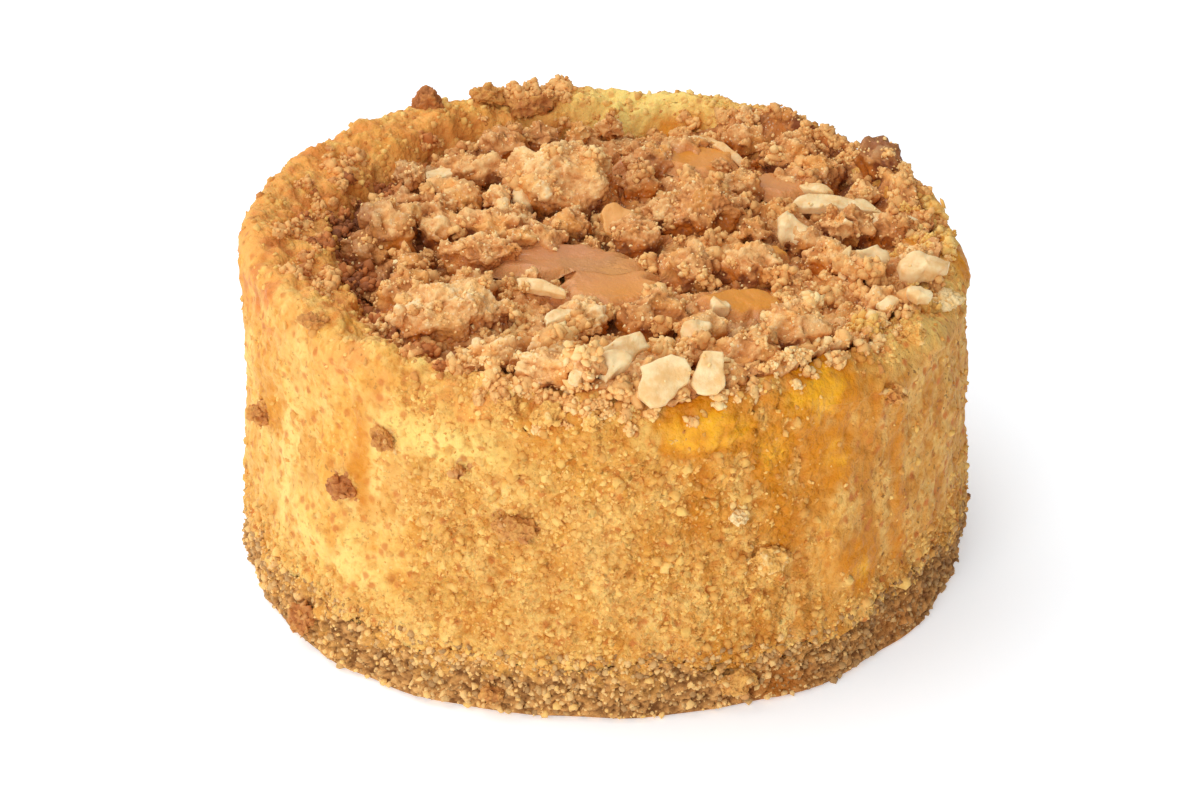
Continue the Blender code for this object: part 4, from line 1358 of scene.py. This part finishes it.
loose = {
    "brown": colour(206, 138, 74),
    "sandy": colour(250, 194, 118),
    "pale": colour(255, 228, 166),
    "sugar": colour(255, 236, 196),
    "goldenDark": colour(214, 144, 62),
    "goldenLight": colour(246, 194, 100),
    "cream": colour(255, 220, 142),
    "soaked": colour(112, 56, 22),
    "caught": colour(166, 98, 48),
    "biscuitDark": biscuit["dark"],
    "biscuitLight": biscuit["light"],
    "russet": colour(200, 118, 54),
    "heapReach": 38.0,
    "lowestOnHeap": 30.0 * mm,
    "lowestOnEdge": 31.0 * mm,
    "keptBare": 0.92,
    "dropHeight": 35.0 * mm,
    "knotGrains": 14,
    "knotCore": 0.68,
    "heapKnots": (430, 1.0 * mm, 3.0 * mm, 1.5),  # count, smallest, largest, and power as in graded
    "edgeKnots": (  # count, smallest, largest, from and to in degrees, inside and outside the edge
        (200, 0.8, 2.4, 240.0, 455.0, -1.8, 1.4),
        (50, 0.7, 2.2, 251.0, 274.0, -0.5, 3.6),
    ),
    "wallKnots": ((170, 1.0, 2.8, 95.0, 245.0, -1.8, 1.8), (80, 0.9, 3.2, 148.0, 214.0, 0.5, 7.0)),
    "backKnots": ((45, 1.0, 2.4, 96.0, 109.0, 3.5, 8.0),),
    "paleKnots": ((70, 1.0, 3.0, 322.0, 375.0, -3.5, 2.0),),
    "caughtSizes": (0.25 * mm, 0.9 * mm, 1.6),
    "heapSugar": (5500, 0.16 * mm, 0.45 * mm, 2.2),
    "rimGranules": (3200, 0.25 * mm, 1.0 * mm, 2.4),
    "sideGranules": (2200, 0.4 * mm, 1.15 * mm, 2.2),
    "sideGrains": (9000, 0.22 * mm, 0.6 * mm, 1.8),
    "biscuitCrumbs": (4500, 0.25 * mm, 0.9 * mm, 2.2),
}


def grainFinish(name, dark, light, top, stain=0.0):  # three of the colours in loose
    look = Finish(name)
    fine = look.grain(0.4 * mm, 3.0)
    tone = look.painted("tint") * 0.8 + fine * 0.35 - 0.05
    base = look.ramp(tone, (0.05, loose[dark]), (1.0, loose[top]), (0.6, loose[light]))
    if stain:
        base = stained(look, base, look.painted("stain") * stain)
    look.set(colour=base, roughness=0.75, inside=0.06, insideReach=(1.0, 0.6, 0.3), insideScale=0.8 * mm)
    look.relief(fine, 0.12 * mm)
    return look


def tilted(picker, most):
    tilt = picker.uniform(0.0, most)
    turn = picker.uniform(0.0, 2.0 * math.pi)
    return Vector((math.sin(tilt) * math.cos(turn), math.sin(tilt) * math.sin(turn), math.cos(tilt)))


def onHeap(surface, kept, sizes, picker, sink, wanted):  # kept has to stay bare: nuts and caramel
    places = []
    while len(places) < len(sizes):
        x, y = picker.uniform(-loose["heapReach"], loose["heapReach"], 2) * mm
        edge = crumbleEdge(math.atan2(y, x)) + 0.8 * mm
        if math.hypot(x, y) > edge or picker.uniform() > wanted(x, y):
            continue
        target = Vector((x, y, coreTop(x, y) + 1.0 * mm))
        direction = tilted(picker, 1.1)
        spot, normal = landed(surface, target, direction)
        if spot is None or spot.z < loose["lowestOnHeap"]:
            continue
        bare = landed(kept, target, direction)[0]
        if bare is not None and bare.z > spot.z - 0.05 * mm and picker.uniform() < loose["keptBare"]:
            continue
        places.append(spot + normal * sizes[len(places)] * sink)
    return np.array(places)


def crumbsWanted(x, y):
    for across, back, width, depth, rise, seed in lumpPlan:
        if math.hypot((x - across) / width, (y - back) / depth) < 0.42:
            return 0.06
    return 0.3 + 0.5 * ease(-y / (18.0 * mm)) + 0.3 * ease(x / (20.0 * mm))


def clustered(centres, widths, each, picker):  # each crumb is a knot of grains round its own middle
    count = len(centres) * each
    away = picker.normal(size=(count, 3))
    away *= (0.4 * picker.uniform(0.8, 1.1, count) / np.linalg.norm(away, axis=1))[:, None]
    wide = np.repeat(widths, each)
    places = np.repeat(centres, each, axis=0) + away * wide[:, None]
    return places, wide * (0.14 + 0.34 * picker.uniform(0.0, 1.0, count) ** 1.5)


def onRim(surface, count, picker, sink, sizes):
    places = []
    while len(places) < count:
        theta = picker.uniform(0.0, 2.0 * math.pi)
        inner = crumbleEdge(theta) + 0.3 * mm
        outer = cake["waistRadius"] - 0.4 * mm
        if outer < inner:
            continue
        distance = inner + (outer - inner) * picker.uniform() ** 1.5
        patch = rough(distance * math.cos(theta), distance * math.sin(theta), 0.0, 5.0 * mm, 14.0)
        if patch < picker.uniform(-0.5, 0.35) and distance > inner + 2.0 * mm:
            continue
        target = at(theta, distance, loose["dropHeight"])
        spot, normal = landed(surface, target, tilted(picker, 0.5))
        if spot is not None:
            places.append(spot + normal * sizes[len(places)] * sink)
    places = np.array(places)
    return places[glazed(places)[0] < picker.uniform(0.2, 1.1, len(places))]


def onEdge(surface, widths, picker, start, end, inside, outside):  # crumbs along the heap's foot
    places = []
    while len(places) < len(widths):
        theta = math.radians(picker.uniform(start, end))
        distance = crumbleEdge(theta) + picker.uniform(inside, outside) * mm
        target = at(theta, distance, loose["dropHeight"])
        spot, normal = landed(surface, target, tilted(picker, 0.4))
        if spot is not None and spot.z > loose["lowestOnEdge"]:
            places.append(spot + normal * widths[len(places)] * 0.05)
    return np.array(places)


def onSide(surface, count, picker, sink, sizes, lowest, highest):
    tries = count * 9
    degrees = picker.uniform(0.0, 360.0, tries)
    heights = picker.uniform(lowest, highest, tries)
    wanted = crumbly(degrees, heights / mm, picker.normal(size=tries) * 0.2)
    chosen = picker.uniform(size=tries) < 0.05 + 0.95 * wanted ** 1.5
    places = []
    for angle, height in zip(np.radians(degrees[chosen]), heights[chosen]):
        spot, normal = landed(surface, Vector((0.0, 0.0, height)), at(angle, 1.0, 0.0))
        if spot is not None and len(places) < count:
            places.append(spot + normal * sizes[len(places)] * sink)
    places = np.array(places)
    return places[glazed(places)[0] < picker.uniform(0.25, 1.1, len(places))]


def besideCrumbs(surface, picker):  # bits of crumb round each lump caught in the side
    places = []
    tints = []
    for degrees, height, width, tall, tone in crumble["sideCrumbs"] + biscuit["lumps"]:
        height, width, tall = height * mm, width * mm, tall * mm
        for number in range(int(4 + 2500 * width)):
            far = 0.3 + 0.4 * picker.uniform() ** 1.5
            turn = picker.uniform(0.0, 2.0 * math.pi)
            angle = math.radians(degrees) + far * width * math.cos(turn) / cake["waistRadius"]
            target = Vector((0.0, 0.0, max(height + far * tall * math.sin(turn), 0.5 * mm)))
            spot, normal = landed(surface, target, at(angle, 1.0, 0.0))
            places.append(spot - normal * 0.08 * mm)
            tints.append(tone)
    return np.array(places), np.array(tints)


def graded(picker, count, smallest, largest, power=1.8):  # many small, few large
    return smallest + (largest - smallest) * picker.uniform(0.0, 1.0, count) ** power


def alongEdge(surface, picker, rows):
    centres = []
    widths = []
    for count, smallest, largest, *where in rows:
        widths.append(graded(picker, count, smallest * mm, largest * mm))
        centres.append(onEdge(surface, widths[-1], picker, *where))
    return np.concatenate(centres), np.concatenate(widths)


def makeLoose():
    picker = np.random.default_rng(5)
    blocky = [smallShape(True, 3.0 + kind, 0.9) for kind in range(12)]
    tiny = [smallShape(False, 30.0 + kind, 0.8) for kind in range(9)]
    heap = surfaceOf(crumbleBed, choppedNuts, *crumbleHeap)
    kept = surfaceOf(choppedNuts, caramelPools)
    wall = surfaceOf(custardBody, biscuitLayer)
    moat = surfaceOf(custardBody, crumbleBed)
    heapLook = grainFinish("loose_crumble", "brown", "sandy", "pale")
    sugarLook = grainFinish("sugar_and_flour", "sandy", "pale", "sugar")
    rimLook = grainFinish("rim_crumb", "russet", "goldenLight", "cream", 1.0)
    sideLook = grainFinish("golden_crumb", "goldenDark", "goldenLight", "cream", 0.9)
    wallLook = grainFinish("soaked_crumb", "soaked", "russet", "sandy")
    paleLook = grainFinish("custard_crumb", "goldenDark", "goldenLight", "cream")
    caughtLook = grainFinish("caught_crumb", "caught", "brown", "cream")
    baseLook = grainFinish("biscuit_dust", "biscuitDark", "biscuitLight", "goldenLight")
    made = []

    def chance(places):
        return picker.uniform(size=len(places))

    def scattered(name, shapes, places, sizes, look, tints, slot, smooth=True):
        piece = joined(name, shapes, places, sizes[:len(places)], look, picker, tints, smooth)
        if slot == "custard":
            paint(piece, stain=stainShare(spots(piece)))
        made.append(piece)

    def knots(name, centres, widths, look, tones, uneven):
        each = loose["knotGrains"]
        scattered(name + "_crumbs", blocky, centres, widths * loose["knotCore"], look, tones, "crumble")
        places, sizes = clustered(centres, widths, each, picker)
        tints = np.repeat(tones, each) + uneven * chance(places)
        scattered(name + "_granules", tiny, places, sizes, look, tints, "crumble")

    widths = graded(picker, *loose["heapKnots"])
    centres = onHeap(heap, kept, widths, picker, 0.08, crumbsWanted)
    edge, edgeWidths = alongEdge(moat, picker, loose["edgeKnots"])
    centres = np.concatenate((centres, edge))
    tones = 0.5 * chance(centres) + 0.25 * lighter(centres)
    knots("loose", centres, np.concatenate((widths, edgeWidths)), heapLook, tones, 0.35)

    centres, widths = alongEdge(moat, picker, loose["wallKnots"])
    back, backWidths = alongEdge(surfaceOf(custardBody, stuckCrumbs), picker, loose["backKnots"])
    centres = np.concatenate((centres, back))
    turned, heights = around(centres)
    # tones: higher crumbs paler; the back left painted lighter as painted light for its dim slope; darker
    # in the moat, partly syrup and partly painted shade
    tones = 0.15 + 0.7 * chance(centres) * (0.5 + 1.0 * slope(heights, 33.5, 37.0))
    tones += 0.45 * (1.0 - slope(turned, 120.0, 170.0)) - 0.45 * trench(centres)
    tones += 0.3 * slope(fromMiddle(centres), 30.0, 33.0)
    knots("wall", centres, np.concatenate((widths, backWidths)), wallLook, tones, 0.3)

    centres, widths = alongEdge(moat, picker, loose["paleKnots"])
    knots("pale", centres, widths, paleLook, 0.2 + 0.5 * chance(centres), 0.35)

    places, tones = besideCrumbs(surfaceOf(custardBody, biscuitLayer, stuckCrumbs), picker)
    sizes = graded(picker, len(places), *loose["caughtSizes"])
    tints = tones + 0.05 + 0.3 * chance(places)
    scattered("caught_crumbs", tiny, places, sizes, caughtLook, tints, "crumble")

    sizes = graded(picker, *loose["heapSugar"])
    places = onHeap(heap, kept, sizes, picker, 0.1, lambda x, y: 1.0)
    tints = 0.7 * chance(places) ** 2.0
    scattered("heap_sugar", tiny, places, sizes, sugarLook, tints, "crumble", False)

    sizes = graded(picker, *loose["rimGranules"])
    places = onRim(wall, len(sizes), picker, -0.15, sizes)
    tints = chance(places) * (1.0 - 0.25 * bell(around(places)[0], 180.0, 45.0))
    scattered("rim_granules", tiny, places, sizes, rimLook, tints, "custard")

    sizes = graded(picker, *loose["sideGranules"])
    places = onSide(wall, len(sizes), picker, -0.25, sizes, 6.0 * mm, 34.0 * mm)
    scattered("side_granules", blocky, places, sizes, sideLook, 0.1 + 0.65 * chance(places), "custard")

    sizes = graded(picker, *loose["sideGrains"])
    places = onSide(wall, len(sizes), picker, -0.1, sizes, 5.0 * mm, 35.0 * mm)
    scattered("side_grains", tiny, places, sizes, sideLook, 0.8 * chance(places), "custard", False)

    sizes = graded(picker, *loose["biscuitCrumbs"])
    places = onSide(wall, len(sizes), picker, -0.05, sizes, 0.4 * mm, 7.5 * mm)
    # painted shade: crumbs on the right of the layer are painted darker
    right = sector(around(places)[0], *biscuit["darkSide"])
    tints = 0.1 - 0.1 * right + 0.8 * chance(places) ** 1.2 * (1.0 - 0.55 * right)
    scattered("biscuit_crumbs", tiny, places, sizes, baseLook, tints, "biscuit")
    return made


loosePieces = makeLoose()
print("loose:", sum(len(piece.data.polygons) for piece in loosePieces), "faces")

for piece in [custardBody, biscuitLayer, choppedNuts, caramelPools] + crumblePieces + loosePieces:
    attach(piece, "root")


# Table, light and camera

studio = {
    "camera": 332.0 * mm,
    "elevation": 28.5,
    "lens": 89.64,
    "aim": (-0.33 * mm, 0.0, 15.5 * mm),
    "keyPlace": (-0.28, 0.16, 0.47),
    "keyPower": 2.42,
    "keySize": 0.8,
    "fillPlace": (-0.18, -0.48, 0.25),
    "fillPower": 1.4,
    "fillSize": 0.35,
    "lampAim": (0.0, 0.0, 0.02),
    "room": 0.42,
    "tableHalf": 3.0,
    "tableDrop": 0.05 * mm,
    "tableLight": colour(240, 245, 250),
    "tablePale": colour(244, 249, 254),
    "tableGlow": colour(250, 253, 255),
    "tableGlowStrength": 0.36,
}


def makeTable():
    look = Finish("pale_table")
    speckle = look.grain(40.0 * mm, 2.0)
    look.set(colour=look.blend(speckle, studio["tablePale"], studio["tableLight"]), roughness=0.9)
    look.set(glow=studio["tableGlow"], glowStrength=studio["tableGlowStrength"])
    bm = bmesh.new()
    bmesh.ops.create_grid(bm, x_segments=2, y_segments=2, size=studio["tableHalf"])
    move(bm, (0.0, 0.0, -studio["tableDrop"]))
    toPiece("table", bm, look)


def makeLight():
    world = bpy.data.worlds.new("room")
    world.use_nodes = True
    world.node_tree.nodes["Background"].inputs["Color"].default_value = (1.0, 1.0, 1.0, 1.0)
    world.node_tree.nodes["Background"].inputs["Strength"].default_value = studio["room"]
    bpy.context.scene.world = world
    for name in ("key", "fill"):
        light = bpy.data.lights.new(name, "AREA")
        light.shape = "DISK"
        light.energy = studio[name + "Power"]
        light.size = studio[name + "Size"]
        lamp = bpy.data.objects.new(name, light)
        lamp.location = studio[name + "Place"]
        towards = Vector(studio["lampAim"]) - lamp.location
        lamp.rotation_euler = towards.to_track_quat("-Z", "Y").to_euler()
        bpy.context.scene.collection.objects.link(lamp)


def makeCamera():
    tilt = math.radians(studio["elevation"])
    lens = bpy.data.cameras.new("camera")
    lens.lens = studio["lens"]
    lens.clip_start = 0.01
    camera = bpy.data.objects.new("camera", lens)
    away = Vector((0.0, -math.cos(tilt), math.sin(tilt))) * studio["camera"]
    camera.location = Vector(studio["aim"]) + away
    camera.rotation_euler = (math.radians(90.0) - tilt, 0.0, 0.0)
    bpy.context.scene.collection.objects.link(camera)
    bpy.context.scene.camera = camera


makeTable()
makeLight()
makeCamera()
bpy.context.scene.view_settings.view_transform = "Standard"
